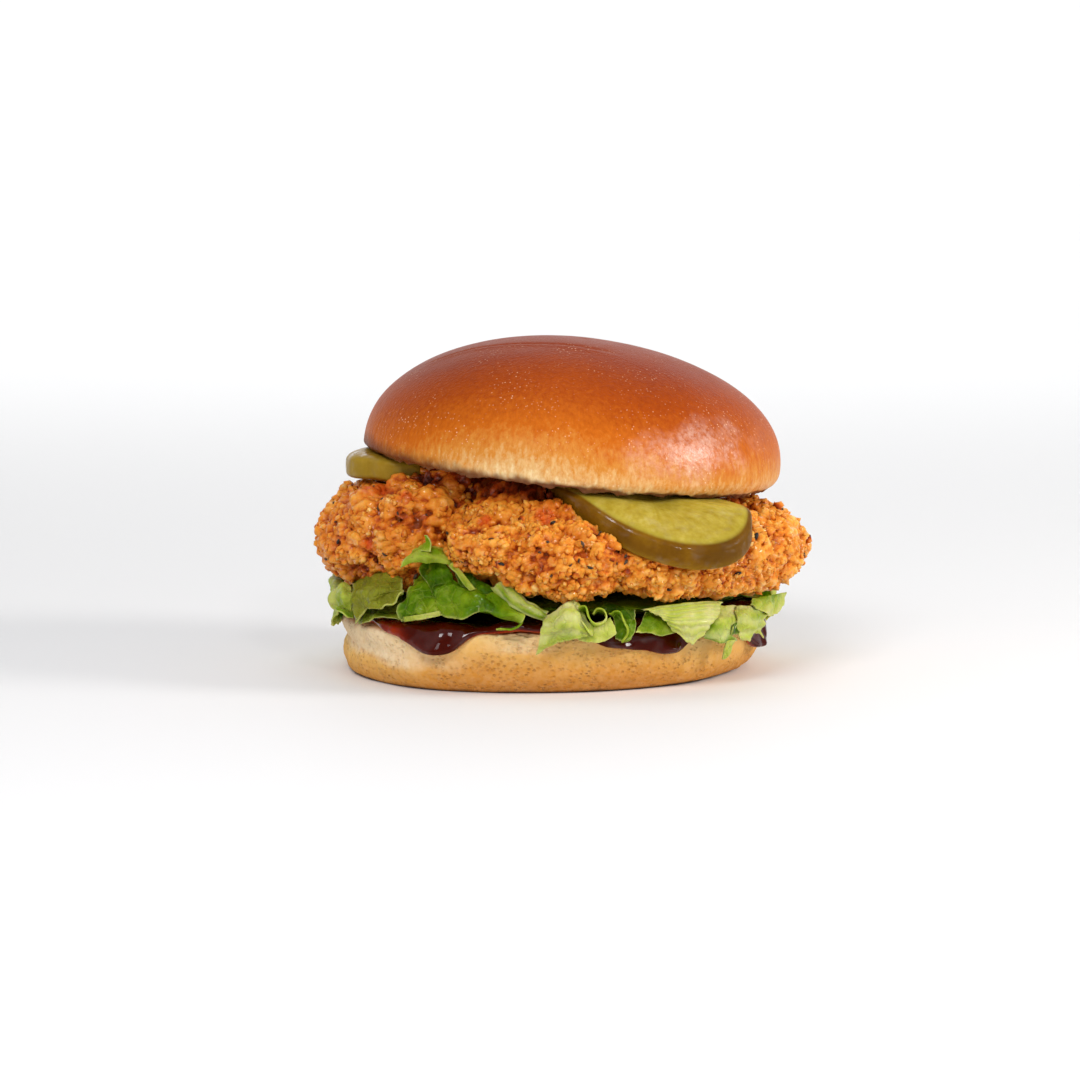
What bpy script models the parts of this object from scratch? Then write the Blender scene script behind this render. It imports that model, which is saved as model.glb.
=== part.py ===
"""A crispy chicken burger: two bun halves with sauce, torn lettuce, a craggy fried fillet and pickle slices.

Metres, +Z up. The origin is the centre of the flat base of the bottom bun, +X runs to the right of the
burger as it is looked at, and its front faces -Y. Azimuths are degrees about Z from +X, so -90 is the front.
"""

import math
import random
from itertools import product

import bmesh
import bpy
import numpy as np
from mathutils import Matrix

MM = 0.001
SEED = 7
WELD = 0.002 * MM

# Bottom bun: a low round loaf, fuller at the front left, drawn in towards its base on the right.
HEEL_RADIUS = 55.6 * MM
HEEL_HEIGHT = 14.6 * MM
HEEL_FRONT_RISE = 0.024
HEEL_FOOT_LEFT = 3.4 * MM
HEEL_FOOT_RIGHT = 8.0 * MM
HEEL_FOOT_TOP = 8.0 * MM
HEEL_LIP = 2.6 * MM
HEEL_CORNER = 3.4 * MM
HEEL_CORNER_AZIMUTH = -127
HEEL_CORNER_SPREAD = 26
HEEL_WAIST = 1.5 * MM
HEEL_WAIST_Z = 8.4 * MM
HEEL_WAIST_SPREAD = 2.4 * MM
HEEL_UNEVEN = 0.4 * MM
HEEL_COLUMNS = 56
HEEL_ROWS = 13
# Shares of the way up the skin at which the flat base, the side and the round lip end.
BASE_END = 0.15
SIDE_END = 0.8
LIP_END = 0.9

# Top bun: a dome on a cut face that leans down to the right and a little to the front.
CROWN_RADIUS = 54.6 * MM
CROWN_HEIGHT = 33.9 * MM
CROWN_CENTRE = (5.1 * MM, 0.0, 53.0 * MM)
CROWN_ROLL = 6.2
CROWN_PITCH = 1.4
CROWN_UNDERCUT_LEFT = 0.9 * MM
CROWN_UNDERCUT_RIGHT = 4.6 * MM
CROWN_EDGE_LEFT = 1.2 * MM
CROWN_EDGE_RIGHT = 4.2 * MM
CROWN_HOLLOW = 2.2 * MM
CROWN_FULLNESS = 0.97
CROWN_COLUMNS = 56
CROWN_ROWS = 15
# Shares of the way up the skin at which the cut face and the crust's turn end.
FACE_END = 0.2
TURN_END = 0.4

# Sauce: a layer on the bottom bun that runs over its edge in drips: azimuth, half width, how far each hangs
# below the edge of the cut face, extra body.
SAUCE_LAYER = 1.5 * MM
SAUCE_GAP = 0.4 * MM
SAUCE_EDGE = 0.5 * MM
SAUCE_INNER = 0.35
SAUCE_COLUMNS = 60
SAUCE_ROWS = 16
SAUCE_DRIPS = (
    (-120, 8, 4.6, 1.3),
    (-133, 6, 1.2, 0.1),
    (-72, 7, 4.6, 0.8),
    (-58, 7, 5.2, 0.9),
    (-20, 9, 6.6, 1.9),
    (38, 9, 5.0, 1.0),
    (96, 11, 4.0, 0.8),
    (151, 8, 5.6, 1.1),
)

# Fillet: azimuth, radius, height of the top shoulder and of the underside, from a centre near the Z axis.
FILLET_CENTRE = (2.0 * MM, -4.0 * MM)
FILLET_OUTLINE = (
    (-180, 62.0, 48.0, 23.0),
    (-158, 60.5, 50.0, 22.6),
    (-141, 54.0, 51.0, 24.5),
    (-130, 44.0, 49.0, 29.5),
    (-120, 53.5, 48.0, 30.0),
    (-109, 57.5, 48.5, 28.0),
    (-90, 57.0, 46.5, 24.4),
    (-70, 57.5, 43.0, 24.2),
    (-52, 60.0, 42.0, 23.8),
    (-30, 61.5, 42.5, 22.4),
    (-4, 62.6, 43.5, 22.0),
    (26, 59.5, 44.0, 22.6),
    (55, 54.0, 46.0, 23.6),
    (80, 50.0, 47.5, 24.0),
    (108, 53.0, 49.0, 24.0),
    (136, 58.0, 49.0, 23.4),
)
FILLET_BELOW_CROWN = 1.6 * MM
FILLET_UNDERSIDE = 25.4 * MM
FILLET_BOXINESS = 0.27
FILLET_ROUNDING = 0.95
FILLET_SHOULDER = (0.6, 0.88)
FILLET_COLUMNS = 84
FILLET_ROWS = 20
CRAG_SIZES = ((16.0 * MM, 1.7 * MM), (8.0 * MM, 1.5 * MM))

# Pickles: centre of the upper face, half length, half width, turn about Z, a point on the fold line, the
# azimuth towards which the slice droops past it, and the slope of the droop.
PICKLE_THICKNESS = 6.2 * MM
PICKLE_EDGE = 0.14
PICKLE_BEND = 2.5 * MM
PICKLE_RIGHT = ((24.5 * MM, -42.0 * MM), 26.5 * MM, 17.5 * MM, -18, (37.0 * MM, -48.0 * MM), -83, 0.62)
PICKLE_LEFT = ((-37.5 * MM, -8.0 * MM), 17.0 * MM, 17.0 * MM, 0, (-47.0 * MM, -8.0 * MM), 180, 0.22)
PICKLE_COLUMNS = 28
PICKLE_ROWS = 8

# Lettuce: a bed between the sauce and the fillet, with leaves that show all round.
BED_RADIUS = 51.0 * MM
BED_WAVE = 2.2 * MM
BED_LOW = 2.6 * MM
BED_HIGH = 7.6 * MM
BED_EDGE = 0.3
BED_COLUMNS = 40
BED_ROWS = 4
LEAF_ROOT = 47.0 * MM
LEAF_THICKNESS = 0.8 * MM
LEAF_ROWS = 5
LEAF_COLUMNS = 4
CLEARANCE = 0.35 * MM

# Leaves in front: azimuth, half width in degrees, reach past the bottom bun and height at the middle of the
# leaf, the same at its tip, how much the tip falls from left to right, ruffle, and how pointed the tip is.
LEAVES = (
    (-166, 9.0, 2.5, 24.5, 2.2, 15.2, 0.0, 0.8, 0.4),
    (-148, 11.0, 2.5, 30.0, 4.0, 15.6, 0.0, 1.2, 0.2),
    (-115, 14.0, 5.0, 18.4, 3.0, 31.0, 5.0, 1.0, 0.1),
    (-124, 4.0, 3.5, 24.0, -0.5, 39.0, 0.0, 0.4, 0.9),
    (-126, 7.0, 6.0, 27.0, 5.5, 17.2, 0.0, 0.6, 0.5),
    (-103, 6.0, 8.5, 25.5, 5.0, 18.2, 0.0, 0.9, 0.2),
    (-97, 5.5, 5.0, 19.0, 7.2, 29.5, 0.0, 0.5, 0.3),
    (-87, 7.0, 7.5, 25.0, 6.0, 11.0, 0.0, 0.9, 0.6),
    (-77.5, 6.0, 8.0, 24.0, 5.0, 14.2, 0.0, 1.2, 0.2),
    (-70, 4.0, 7.5, 22.5, 5.5, 14.4, 0.0, 0.5, 0.2),
    (-63, 6.0, 6.0, 21.0, 5.6, 16.0, 0.0, 0.7, 0.2),
    (-54, 10.5, 8.0, 23.5, 4.8, 12.0, 0.0, 0.5, 0.8),
    (-41, 7.0, 6.5, 22.0, 4.6, 12.0, 0.0, 0.9, 0.4),
    (-27, 7.5, 5.5, 21.5, 5.8, 12.0, 0.0, 0.8, 0.4),
    (-8, 9.5, 3.5, 23.0, 3.5, 13.5, 0.0, 0.8, 0.3),
)
BACK_LEAVES = 9
BACK_FROM = 14
BACK_TO = 178


def hashed(cells, salt):
    """A number from 0 to 1 for each whole-number cell, the same each run: its coordinates mixed by primes."""
    x, y, z = (cells[:, i].astype(np.int64).astype(np.uint32) for i in range(3))
    h = x * np.uint32(73856093) ^ y * np.uint32(19349663) ^ z * np.uint32(83492791)
    h = h ^ np.uint32(salt * 2654435761 & 0xFFFFFFFF)
    for shift, factor in ((16, 0x85EBCA6B), (13, 0xC2B2AE35), (16, 1)):
        h = (h ^ (h >> np.uint32(shift))) * np.uint32(factor)
    return h / 2.0**32


def pebbles(points, size, salt):
    """The height, 0 to 1, of round pebbles, one to a cell: hashed in place and radius, the tallest kept."""
    scaled = points / size
    base = np.floor(scaled)
    height = np.zeros(len(points))
    for step in product((-1, 0, 1), repeat=3):
        cell = base + step
        centre = cell + np.stack([hashed(cell, salt + k) for k in range(3)], axis=1)
        radius = 0.55 + 0.4 * hashed(cell, salt + 3)
        away = np.linalg.norm(scaled - centre, axis=1)
        height = np.maximum(height, np.sqrt(np.maximum(radius**2 - away**2, 0)))
    return height


def bell(theta, azimuth, half_width):
    """1 at an azimuth in degrees, falling to 0 on both sides like a bell of that half width."""
    apart = (np.degrees(theta) - azimuth + 180) % 360 - 180
    return np.exp(-((apart / half_width) ** 2))


def share(value, start, end):
    """How far the value is on its way from start to end, held between 0 and 1."""
    return np.clip((value - start) / (end - start), 0, 1)


def leftness(theta):
    """0 on the right-hand side of the burger and 1 on its left-hand side."""
    return 0.5 - 0.5 * np.cos(theta)


def around(theta, radius, z):
    """Points at those azimuths, distances from the Z axis and heights."""
    return np.stack([radius * np.cos(theta), radius * np.sin(theta), z], axis=-1)


def heel_outline(theta):
    """The bottom bun's radius: a circle with a fuller front-left corner and a slow uneven wave."""
    uneven = HEEL_UNEVEN * (np.sin(2 * theta + 0.8) + np.sin(3 * theta - 0.5))
    return HEEL_RADIUS + HEEL_CORNER * bell(theta, HEEL_CORNER_AZIMUTH, HEEL_CORNER_SPREAD) + uneven


def heel_top(y):
    """The height of the bottom bun's cut face, which rises a little to the front."""
    return HEEL_HEIGHT - HEEL_FRONT_RISE * y


def heel_section(theta, t):
    """Distance from the Z axis and height on the bottom bun's skin, t being 0 at the base and 1 at the top.

    The flat base ends at t BASE_END, the side at SIDE_END and the round lip at LIP_END, where the cut face starts.
    The side bows out from the base like a quarter of an ellipse; on the left a shallow waist is pressed in.
    """
    left = leftness(theta)
    outline = heel_outline(theta)
    foot = HEEL_FOOT_RIGHT + (HEEL_FOOT_LEFT - HEEL_FOOT_RIGHT) * left
    top = heel_top(outline * np.sin(theta))
    side = share(t, BASE_END, SIDE_END)
    z_side = side * (top - HEEL_LIP)
    low = np.clip(1 - z_side / HEEL_FOOT_TOP, 0, 1)
    waist = HEEL_WAIST * left**2 * np.exp(-(((z_side - HEEL_WAIST_Z) / HEEL_WAIST_SPREAD) ** 2))
    radius = outline - foot * (1 - np.sqrt(1 - low**2)) - waist
    turn = share(t, SIDE_END, LIP_END) * math.pi / 2
    radius = radius - HEEL_LIP * (1 - np.cos(turn))
    z = z_side + HEEL_LIP * np.sin(turn)
    radius = radius * share(t, 0, BASE_END) * (1 - share(t, LIP_END, 1))
    return radius, np.where(t > LIP_END, heel_top(radius * np.sin(theta)), z)


def heel_surface(theta, t):
    """The bottom bun's skin as points."""
    return around(theta, *heel_section(theta, t))


def crown_surface(theta, t):
    """The top bun in its own frame, from the middle of its cut face (t 0) to the top of its dome (t 1).

    The cut face is a little hollow and ends at t FACE_END; the crust turns under to meet it, most on the
    right, up to t TURN_END; the dome above it is nearly an ellipsoid.
    """
    uneven = 0.4 * MM * np.sin(3 * theta + 1.0) + 0.3 * MM * np.sin(5 * theta)
    widest = CROWN_RADIUS + uneven
    left = leftness(theta)
    rise = CROWN_UNDERCUT_RIGHT + (CROWN_UNDERCUT_LEFT - CROWN_UNDERCUT_RIGHT) * left
    tuck = CROWN_EDGE_RIGHT + (CROWN_EDGE_LEFT - CROWN_EDGE_RIGHT) * left
    face = share(t, 0, FACE_END)
    turn = share(t, FACE_END, TURN_END) * math.pi / 2
    dome = share(t, TURN_END, 1) * math.pi / 2
    under = face * (widest - tuck) + tuck * np.sin(turn)
    hollow = CROWN_HOLLOW * (1 - face**3)
    radius = np.where(t < TURN_END, under, widest * np.cos(dome))
    low = hollow + rise * (1 - np.cos(turn))
    high = rise + (CROWN_HEIGHT - rise) * np.sin(dome) ** CROWN_FULLNESS
    return around(theta, radius, np.where(t < TURN_END, low, high))


def crown_place():
    """Where the top bun's own frame stands: leaned down to the right and a little to the front."""
    roll = Matrix.Rotation(math.radians(CROWN_ROLL), 4, "Y")
    pitch = Matrix.Rotation(math.radians(CROWN_PITCH), 4, "X")
    return Matrix.Translation(CROWN_CENTRE) @ roll @ pitch


def crown_plane(x, y):
    """The height of the plane of the top bun's cut face above each point of the table."""
    place = crown_place()
    normal = place.to_3x3().col[2]
    centre = place.translation
    return centre[2] - (normal[0] * (x - centre[0]) + normal[1] * (y - centre[1])) / normal[2]


def table_curve(theta, column):
    """A column of the fillet's outline at each azimuth, on a smooth closed curve through its rows."""
    table = np.array(FILLET_OUTLINE, float)
    angles = np.concatenate([table[-2:, 0] - 360, table[:, 0], table[:2, 0] + 360])
    values = np.concatenate([table[-2:, column], table[:, column], table[:2, column]])
    at = np.degrees((theta + math.pi) % (2 * math.pi) - math.pi)
    i = np.clip(np.searchsorted(angles, at, side="right") - 1, 1, len(angles) - 3)
    span = angles[i + 1] - angles[i]
    t = (at - angles[i]) / span
    slope = (values[i + 1] - values[i - 1]) / (angles[i + 1] - angles[i - 1]) * span
    slope_next = (values[i + 2] - values[i]) / (angles[i + 2] - angles[i]) * span
    curve = (2 * t**3 - 3 * t**2 + 1) * values[i] + (t**3 - 2 * t**2 + t) * slope
    curve += (3 * t**2 - 2 * t**3) * values[i + 1] + (t**3 - t**2) * slope_next
    return curve * MM


def fillet_surface(theta, t):
    """The fillet's smooth form, from its underside's middle (t 0) round its rim to its top's middle (t 1).

    Each section is a rounded box between the underside and shoulder heights of the outline; inside its
    shoulder the top rises to lie close under the top bun.
    """
    phi = (t - 0.5) * math.pi
    reach = np.abs(np.cos(phi)) ** FILLET_BOXINESS
    lift = np.abs(np.sin(phi)) ** FILLET_ROUNDING
    outline = table_curve(theta, 1)
    shoulder = table_curve(theta, 2)
    under = table_curve(theta, 3)
    x = FILLET_CENTRE[0] + outline * reach * np.cos(theta)
    y = FILLET_CENTRE[1] + outline * reach * np.sin(theta)
    rim = share(reach, *FILLET_SHOULDER)
    rim = rim * rim * (3 - 2 * rim)
    middle = (shoulder + under) / 2
    top = (1 - rim) * (crown_plane(x, y) - FILLET_BELOW_CROWN) + rim * shoulder
    low = (1 - rim) * FILLET_UNDERSIDE + rim * under
    return np.stack([x, y, middle + np.where(phi > 0, top - middle, low - middle) * lift], axis=1)


def fillet_crags(points):
    """How far the crust stands out at each point: pebbles of two sizes, hashed in place and radius."""
    out = np.zeros(len(points))
    for k, (size, high) in enumerate(CRAG_SIZES):
        out += high * (1.6 * pebbles(points, size, 11 * k) - 0.5)
    return out


def sauce_surface(theta, t):
    """The sauce, from the middle of its underside (t 0) out to its edge and back over its upper face (t 1).

    Both faces follow the bottom bun's skin; the upper one stands off it by the layer's thickness, which
    swells towards the end of each drip and rounds off to nothing at the edge.
    """
    drop = SAUCE_EDGE + sum(d * MM * bell(theta, a, w) for a, w, d, _ in SAUCE_DRIPS)
    body = sum(b * MM * bell(theta, a, w * 0.8) for a, w, _, b in SAUCE_DRIPS)
    outline = heel_outline(theta)
    top = heel_top(outline * np.sin(theta))
    turned = np.arcsin(np.clip(1 - drop / HEEL_LIP, 0, 1)) / (math.pi / 2)
    on_lip = SIDE_END + (LIP_END - SIDE_END) * turned
    on_side = SIDE_END - (SIDE_END - BASE_END) * (drop - HEEL_LIP) / (top - HEEL_LIP)
    edge_t = np.where(drop < HEEL_LIP, on_lip, on_side)
    out = 1 - np.abs(2 * t - 1)
    run = share(out, SAUCE_INNER, 1)
    inner_t = 1 - (1 - LIP_END) * out / SAUCE_INNER
    heel_t = np.where(out < SAUCE_INNER, inner_t, LIP_END - (LIP_END - edge_t) * run)
    rounded = np.sqrt(np.clip(1 - run**4, 0, 1))
    thickness = np.where(t > 0.5, (SAUCE_LAYER + body * run) * rounded, 0)
    step = 0.004
    radius, z = heel_section(theta, heel_t)
    radius_up, z_up = heel_section(theta, np.minimum(heel_t + step, 1))
    radius_down, z_down = heel_section(theta, heel_t - step)
    along = np.stack([radius_up - radius_down, z_up - z_down], axis=1)
    along /= np.maximum(np.linalg.norm(along, axis=1), 1e-9)[:, None]
    off = SAUCE_GAP + thickness
    flat = out < 0.02
    return around(
        theta,
        np.where(flat, 0, radius + off * along[:, 1]),
        z - np.where(flat, -off, off * along[:, 0]),
    )


def moulded(name, columns, rows, surface):
    """A closed mesh: a UV sphere whose vertices go where surface(azimuth, share of the way up) says."""
    bm = bmesh.new()
    bmesh.ops.create_uvsphere(bm, u_segments=columns, v_segments=rows, radius=1.0)
    bm.verts.ensure_lookup_table()
    ball = np.array([v.co for v in bm.verts])
    theta = np.arctan2(ball[:, 1], ball[:, 0])
    t = np.arcsin(np.clip(ball[:, 2], -1, 1)) / math.pi + 0.5
    for vertex, point in zip(bm.verts, surface(theta, np.round(t * rows) / rows)):
        vertex.co = point
    return closed_mesh(name, bm)


def closed_mesh(name, bm):
    """A mesh of those faces, split into triangles and shaded smooth."""
    bmesh.ops.triangulate(bm, faces=bm.faces)
    mesh = bpy.data.meshes.new(name)
    bm.to_mesh(mesh)
    bm.free()
    mesh.shade_smooth()
    return mesh


def placed(name, mesh):
    """An object of that mesh in the scene."""
    obj = bpy.data.objects.new(name, mesh)
    bpy.context.scene.collection.objects.link(obj)
    return obj


def coated(obj, colour, roughness):
    """Gives the object a plain material of its own."""
    material = bpy.data.materials.new(obj.name)
    material.use_nodes = True
    shader = material.node_tree.nodes["Principled BSDF"]
    shader.inputs["Base Color"].default_value = (*colour, 1)
    shader.inputs["Roughness"].default_value = roughness
    shader.inputs["Metallic"].default_value = 0
    obj.data.materials.clear()
    obj.data.materials.append(material)


def push_out(mesh, distance):
    """Moves each vertex out along its normal by the distance, one for all or one each."""
    points = np.array([v.co for v in mesh.vertices])
    normals = np.array([v.vector for v in mesh.vertex_normals])
    moved = points + normals * np.reshape(distance, (-1, 1))
    mesh.vertices.foreach_set("co", moved.astype(np.float32).ravel())
    mesh.update()


def grown(obj, distance):
    """A helper copy of the object, its skin that much further out."""
    mesh = obj.data.copy()
    push_out(mesh, distance)
    return placed(obj.name + "_grown", mesh)


def as_built(obj):
    """Replaces the object's mesh by what its modifiers make of it, and takes the modifiers off."""
    graph = bpy.context.evaluated_depsgraph_get()
    mesh = bpy.data.meshes.new_from_object(obj.evaluated_get(graph))
    obj.modifiers.clear()
    obj.data = mesh


def cleared(obj, others):
    """Cuts from the object whatever comes within the clearance of the others, and keeps its largest piece."""
    for other in others:
        cutter = grown(other, CLEARANCE)
        boolean = obj.modifiers.new("clearance", "BOOLEAN")
        boolean.operation = "DIFFERENCE"
        boolean.solver = "MANIFOLD"
        boolean.object = cutter
        as_built(obj)
        bpy.data.objects.remove(cutter)
    keep_largest(obj)


def keep_largest(obj):
    """Keeps the piece with the most faces, faces being joined where just two of them share an edge."""
    bm = bmesh.new()
    bm.from_mesh(obj.data)
    bmesh.ops.remove_doubles(bm, verts=bm.verts, dist=WELD)
    left = set(bm.faces)
    pieces = []
    while left:
        piece = set()
        front = {left.pop()}
        while front:
            piece |= front
            pairs = [e.link_faces for f in front for e in f.edges if len(e.link_faces) == 2]
            front = {f for pair in pairs for f in pair} & left
            left -= front
        pieces.append(piece)
    largest = max(pieces, key=len)
    bmesh.ops.delete(bm, geom=[f for f in bm.faces if f not in largest], context="FACES")
    bmesh.ops.triangulate(bm, faces=bm.faces)
    bm.to_mesh(obj.data)
    bm.free()


def make_heel():
    """The bottom bun."""
    return placed("bun_bottom", moulded("bun_bottom", HEEL_COLUMNS, HEEL_ROWS, heel_surface))


def make_crown():
    """The top bun, set in its leaning place."""
    mesh = moulded("bun_top", CROWN_COLUMNS, CROWN_ROWS, crown_surface)
    mesh.transform(crown_place())
    return placed("bun_top", mesh)


def make_sauce():
    """The sauce layer."""
    return placed("sauce", moulded("sauce", SAUCE_COLUMNS, SAUCE_ROWS, sauce_surface))


def make_fillet():
    """The fried fillet: its smooth form with the crags pushed out along its normals."""
    mesh = moulded("chicken", FILLET_COLUMNS, FILLET_ROWS, fillet_surface)
    push_out(mesh, fillet_crags(np.array([v.co for v in mesh.vertices])))
    return placed("chicken", mesh)


def pickle_surface(slice_, theta, t):
    """A pickle slice: a rounded oval slab close under the top bun, bent down past a fold line."""
    centre, half_length, half_width, turn, fold, fold_azimuth, droop = slice_
    phi = (t - 0.5) * math.pi
    reach = np.abs(np.cos(phi)) ** PICKLE_EDGE
    lift = np.sign(phi) * np.abs(np.sin(phi)) ** 0.5
    along = half_length * reach * np.cos(theta)
    across = half_width * reach * np.sin(theta)
    turn = math.radians(turn)
    x = centre[0] + along * math.cos(turn) - across * math.sin(turn)
    y = centre[1] + along * math.sin(turn) + across * math.cos(turn)
    towards = math.radians(fold_azimuth)
    past = (x - fold[0]) * math.cos(towards) + (y - fold[1]) * math.sin(towards)
    bend = (past + np.sqrt(past**2 + PICKLE_BEND**2)) / 2
    top = crown_plane(x, y) - CLEARANCE - droop * bend
    return np.stack([x, y, top - PICKLE_THICKNESS * (0.5 - 0.5 * lift)], axis=1)


def make_pickle(name, slice_):
    """One pickle slice."""
    mesh = moulded(name, PICKLE_COLUMNS, PICKLE_ROWS, lambda theta, t: pickle_surface(slice_, theta, t))
    return placed(name, mesh)


def leaf_mesh(name, leaf, phase):
    """One leaf: a grid bent along a curve from the bed, past the bottom bun's edge, to the leaf's tip.

    Across the leaf the grid spans the leaf's azimuths; its edge is ruffled, more towards the tip, and its tip
    is drawn in at both corners.
    """
    azimuth, half_width, mid_reach, mid_z, tip_reach, tip_z, slant, ruffle, point = leaf
    bm = bmesh.new()
    bmesh.ops.create_grid(bm, x_segments=LEAF_ROWS, y_segments=LEAF_COLUMNS, size=1.0)
    flat = np.array([v.co for v in bm.verts])
    along = flat[:, 0] * 0.5 + 0.5
    across = flat[:, 1]
    u = along * (1 - point * 0.45 * across**2 - 0.06 * np.sin(7 * across + phase))
    theta = np.radians(azimuth + half_width * across * (1 - point * 0.35 * along**2))
    outline = heel_outline(theta)
    root_z = heel_top(LEAF_ROOT * np.sin(theta)) + (BED_LOW + BED_HIGH) / 2
    start, bend, end = (1 - u) ** 2, 2 * u * (1 - u), u**2
    radius = start * LEAF_ROOT + bend * (outline + mid_reach * MM) + end * (outline + tip_reach * MM)
    z = start * root_z + bend * mid_z * MM + end * (tip_z - slant * across) * MM
    ripple = ruffle * MM * u * np.sin(4.2 * across + phase)
    points = around(theta, radius + ripple, z + 0.6 * ripple)
    for vertex, place in zip(bm.verts, points):
        vertex.co = place
    return closed_mesh(name, bm)


def make_leaf(name, leaf, phase):
    """A leaf as a thin solid."""
    obj = placed(name, leaf_mesh(name, leaf, phase))
    solid = obj.modifiers.new("thickness", "SOLIDIFY")
    solid.thickness = LEAF_THICKNESS
    solid.offset = 0
    as_built(obj)
    return obj


def bed_surface(theta, t):
    """The lettuce bed between the sauce and the fillet: a flat disc with a wavy rim."""
    phi = (t - 0.5) * math.pi
    wave = 0.6 * np.sin(5 * theta) + 0.36 * np.sin(9 * theta + 1.3)
    radius = (BED_RADIUS + BED_WAVE * wave) * np.abs(np.cos(phi)) ** BED_EDGE
    low = heel_top(radius * np.sin(theta)) + BED_LOW
    return around(theta, radius, low + (BED_HIGH - BED_LOW) * (0.5 + 0.5 * np.sin(phi)))


def back_leaves():
    """Leaves for the back of the burger, spaced evenly with seeded differences."""
    pick = random.Random(SEED)
    step = (BACK_TO - BACK_FROM) / BACK_LEAVES
    for i in range(BACK_LEAVES):
        azimuth = BACK_FROM + (i + 0.5) * step + pick.uniform(-2, 2)
        half_width = pick.uniform(7, 10.5)
        if i % 3 == 1:
            yield azimuth, half_width, 5.0, 18.5, 4.0, pick.uniform(22, 25), 1.5, 1.0, 0.2
        else:
            yield azimuth, half_width, 5.5, 23.5, 4.8, pick.uniform(9.5, 14), 0.0, 1.1, pick.uniform(0.2, 0.8)


def make_lettuce():
    """The lettuce: the bed and its leaves joined into one solid."""
    bed = placed("lettuce", moulded("lettuce", BED_COLUMNS, BED_ROWS, bed_surface))
    leaves = bpy.data.collections.new("leaves")
    bpy.context.scene.collection.children.link(leaves)
    for i, leaf in enumerate((*LEAVES, *back_leaves())):
        obj = make_leaf(f"leaf_{i}", leaf, 1.7 * i)
        bpy.context.scene.collection.objects.unlink(obj)
        leaves.objects.link(obj)
    join = bed.modifiers.new("leaves", "BOOLEAN")
    join.operation = "UNION"
    join.solver = "MANIFOLD"
    join.operand_type = "COLLECTION"
    join.collection = leaves
    as_built(bed)
    for obj in list(leaves.objects):
        bpy.data.objects.remove(obj)
    bpy.data.collections.remove(leaves)
    return bed


def main():
    """Builds each layer, cuts it clear of what presses into it, and gives each its colour."""
    for old in list(bpy.data.objects):
        bpy.data.objects.remove(old)
    heel = make_heel()
    crown = make_crown()
    sauce = make_sauce()
    fillet = make_fillet()
    pickles = [make_pickle("pickle_right", PICKLE_RIGHT), make_pickle("pickle_left", PICKLE_LEFT)]
    cleared(fillet, [*pickles, crown])
    cleared(crown, pickles)
    lettuce = make_lettuce()
    cleared(lettuce, [heel, sauce, fillet])
    coated(heel, (0.72, 0.46, 0.22), 0.7)
    coated(crown, (0.55, 0.2, 0.05), 0.35)
    coated(sauce, (0.12, 0.01, 0.005), 0.12)
    coated(fillet, (0.62, 0.27, 0.06), 0.55)
    coated(lettuce, (0.27, 0.5, 0.07), 0.4)
    for pickle in pickles:
        coated(pickle, (0.36, 0.36, 0.06), 0.3)


main()
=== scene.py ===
"""The looks of the crispy chicken burger: each solid of the frame is replaced by a finely modelled piece.

Metres, +Z up. The origin is the centre of the flat base of the bottom bun, and the front faces -Y. Theta is
the azimuth about Z from +X, and t runs over a piece from its underside to its top. All noise is hashed or
seeded.
"""

import math
from itertools import product

import bpy
import numpy as np
from mathutils import Matrix, Vector


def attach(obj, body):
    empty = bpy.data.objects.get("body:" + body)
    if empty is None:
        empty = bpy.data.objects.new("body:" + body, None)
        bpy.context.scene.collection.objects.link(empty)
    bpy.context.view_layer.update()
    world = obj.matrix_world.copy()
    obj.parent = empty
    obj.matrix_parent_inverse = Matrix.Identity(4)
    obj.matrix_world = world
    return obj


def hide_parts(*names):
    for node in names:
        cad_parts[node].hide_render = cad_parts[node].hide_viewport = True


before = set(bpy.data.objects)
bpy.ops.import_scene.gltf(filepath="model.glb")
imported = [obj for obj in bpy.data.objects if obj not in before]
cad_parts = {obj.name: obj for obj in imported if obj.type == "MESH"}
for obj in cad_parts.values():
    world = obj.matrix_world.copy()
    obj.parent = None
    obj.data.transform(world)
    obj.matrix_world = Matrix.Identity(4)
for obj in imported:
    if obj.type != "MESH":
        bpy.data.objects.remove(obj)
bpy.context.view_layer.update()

MM = 0.001
PI = math.pi
SEED = 11

# The photograph's camera: its tilt below the horizon, how far it stands off, and its focal length in pixels.
IMAGE_SIDE = 1080
SENSOR_WIDTH = 36.0
CAMERA_TILT = math.radians(6.2)
CAMERA_AWAY = 1.0
FOCAL_PIXELS = 3787.88
AIM_HEIGHT = 0.043
AIM_COLUMN = 552.0
AIM_ROW = 503.1


# Numbers and curves.


def hashed(cells, salt):
    """A number from 0 to 1 for each whole-number cell: its three coordinates mixed by primes."""
    x, y, z = (cells[..., i].astype(np.int64).astype(np.uint32) for i in range(3))
    h = x * np.uint32(73856093) ^ y * np.uint32(19349663) ^ z * np.uint32(83492791)
    h = h ^ np.uint32(salt * 2654435761 & 0xFFFFFFFF)
    for shift, factor in ((16, 0x85EBCA6B), (13, 0xC2B2AE35), (16, 1)):
        h = (h ^ (h >> np.uint32(shift))) * np.uint32(factor)
    return h / 2.0**32


def waves(points, size, salt):
    """Smooth noise, -1 to 1: hashed values at the corners of cells of that size, blended by s*s*(3 - 2*s)."""
    scaled = points / size
    base = np.floor(scaled)
    share = scaled - base
    share = share * share * (3 - 2 * share)
    total = np.zeros(points.shape[:-1])
    for corner in product((0, 1), repeat=3):
        weight = np.prod(np.where(np.array(corner) == 1, share, 1 - share), axis=-1)
        total += weight * hashed(base + corner, salt)
    return 2 * total - 1


def ripples(points, size, salt, octaves=3):
    """Layered smooth noise: each layer half the size and half the height of the one before it."""
    return sum(waves(points, size / 2**k, salt + k) / 2**k for k in range(octaves))


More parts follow.
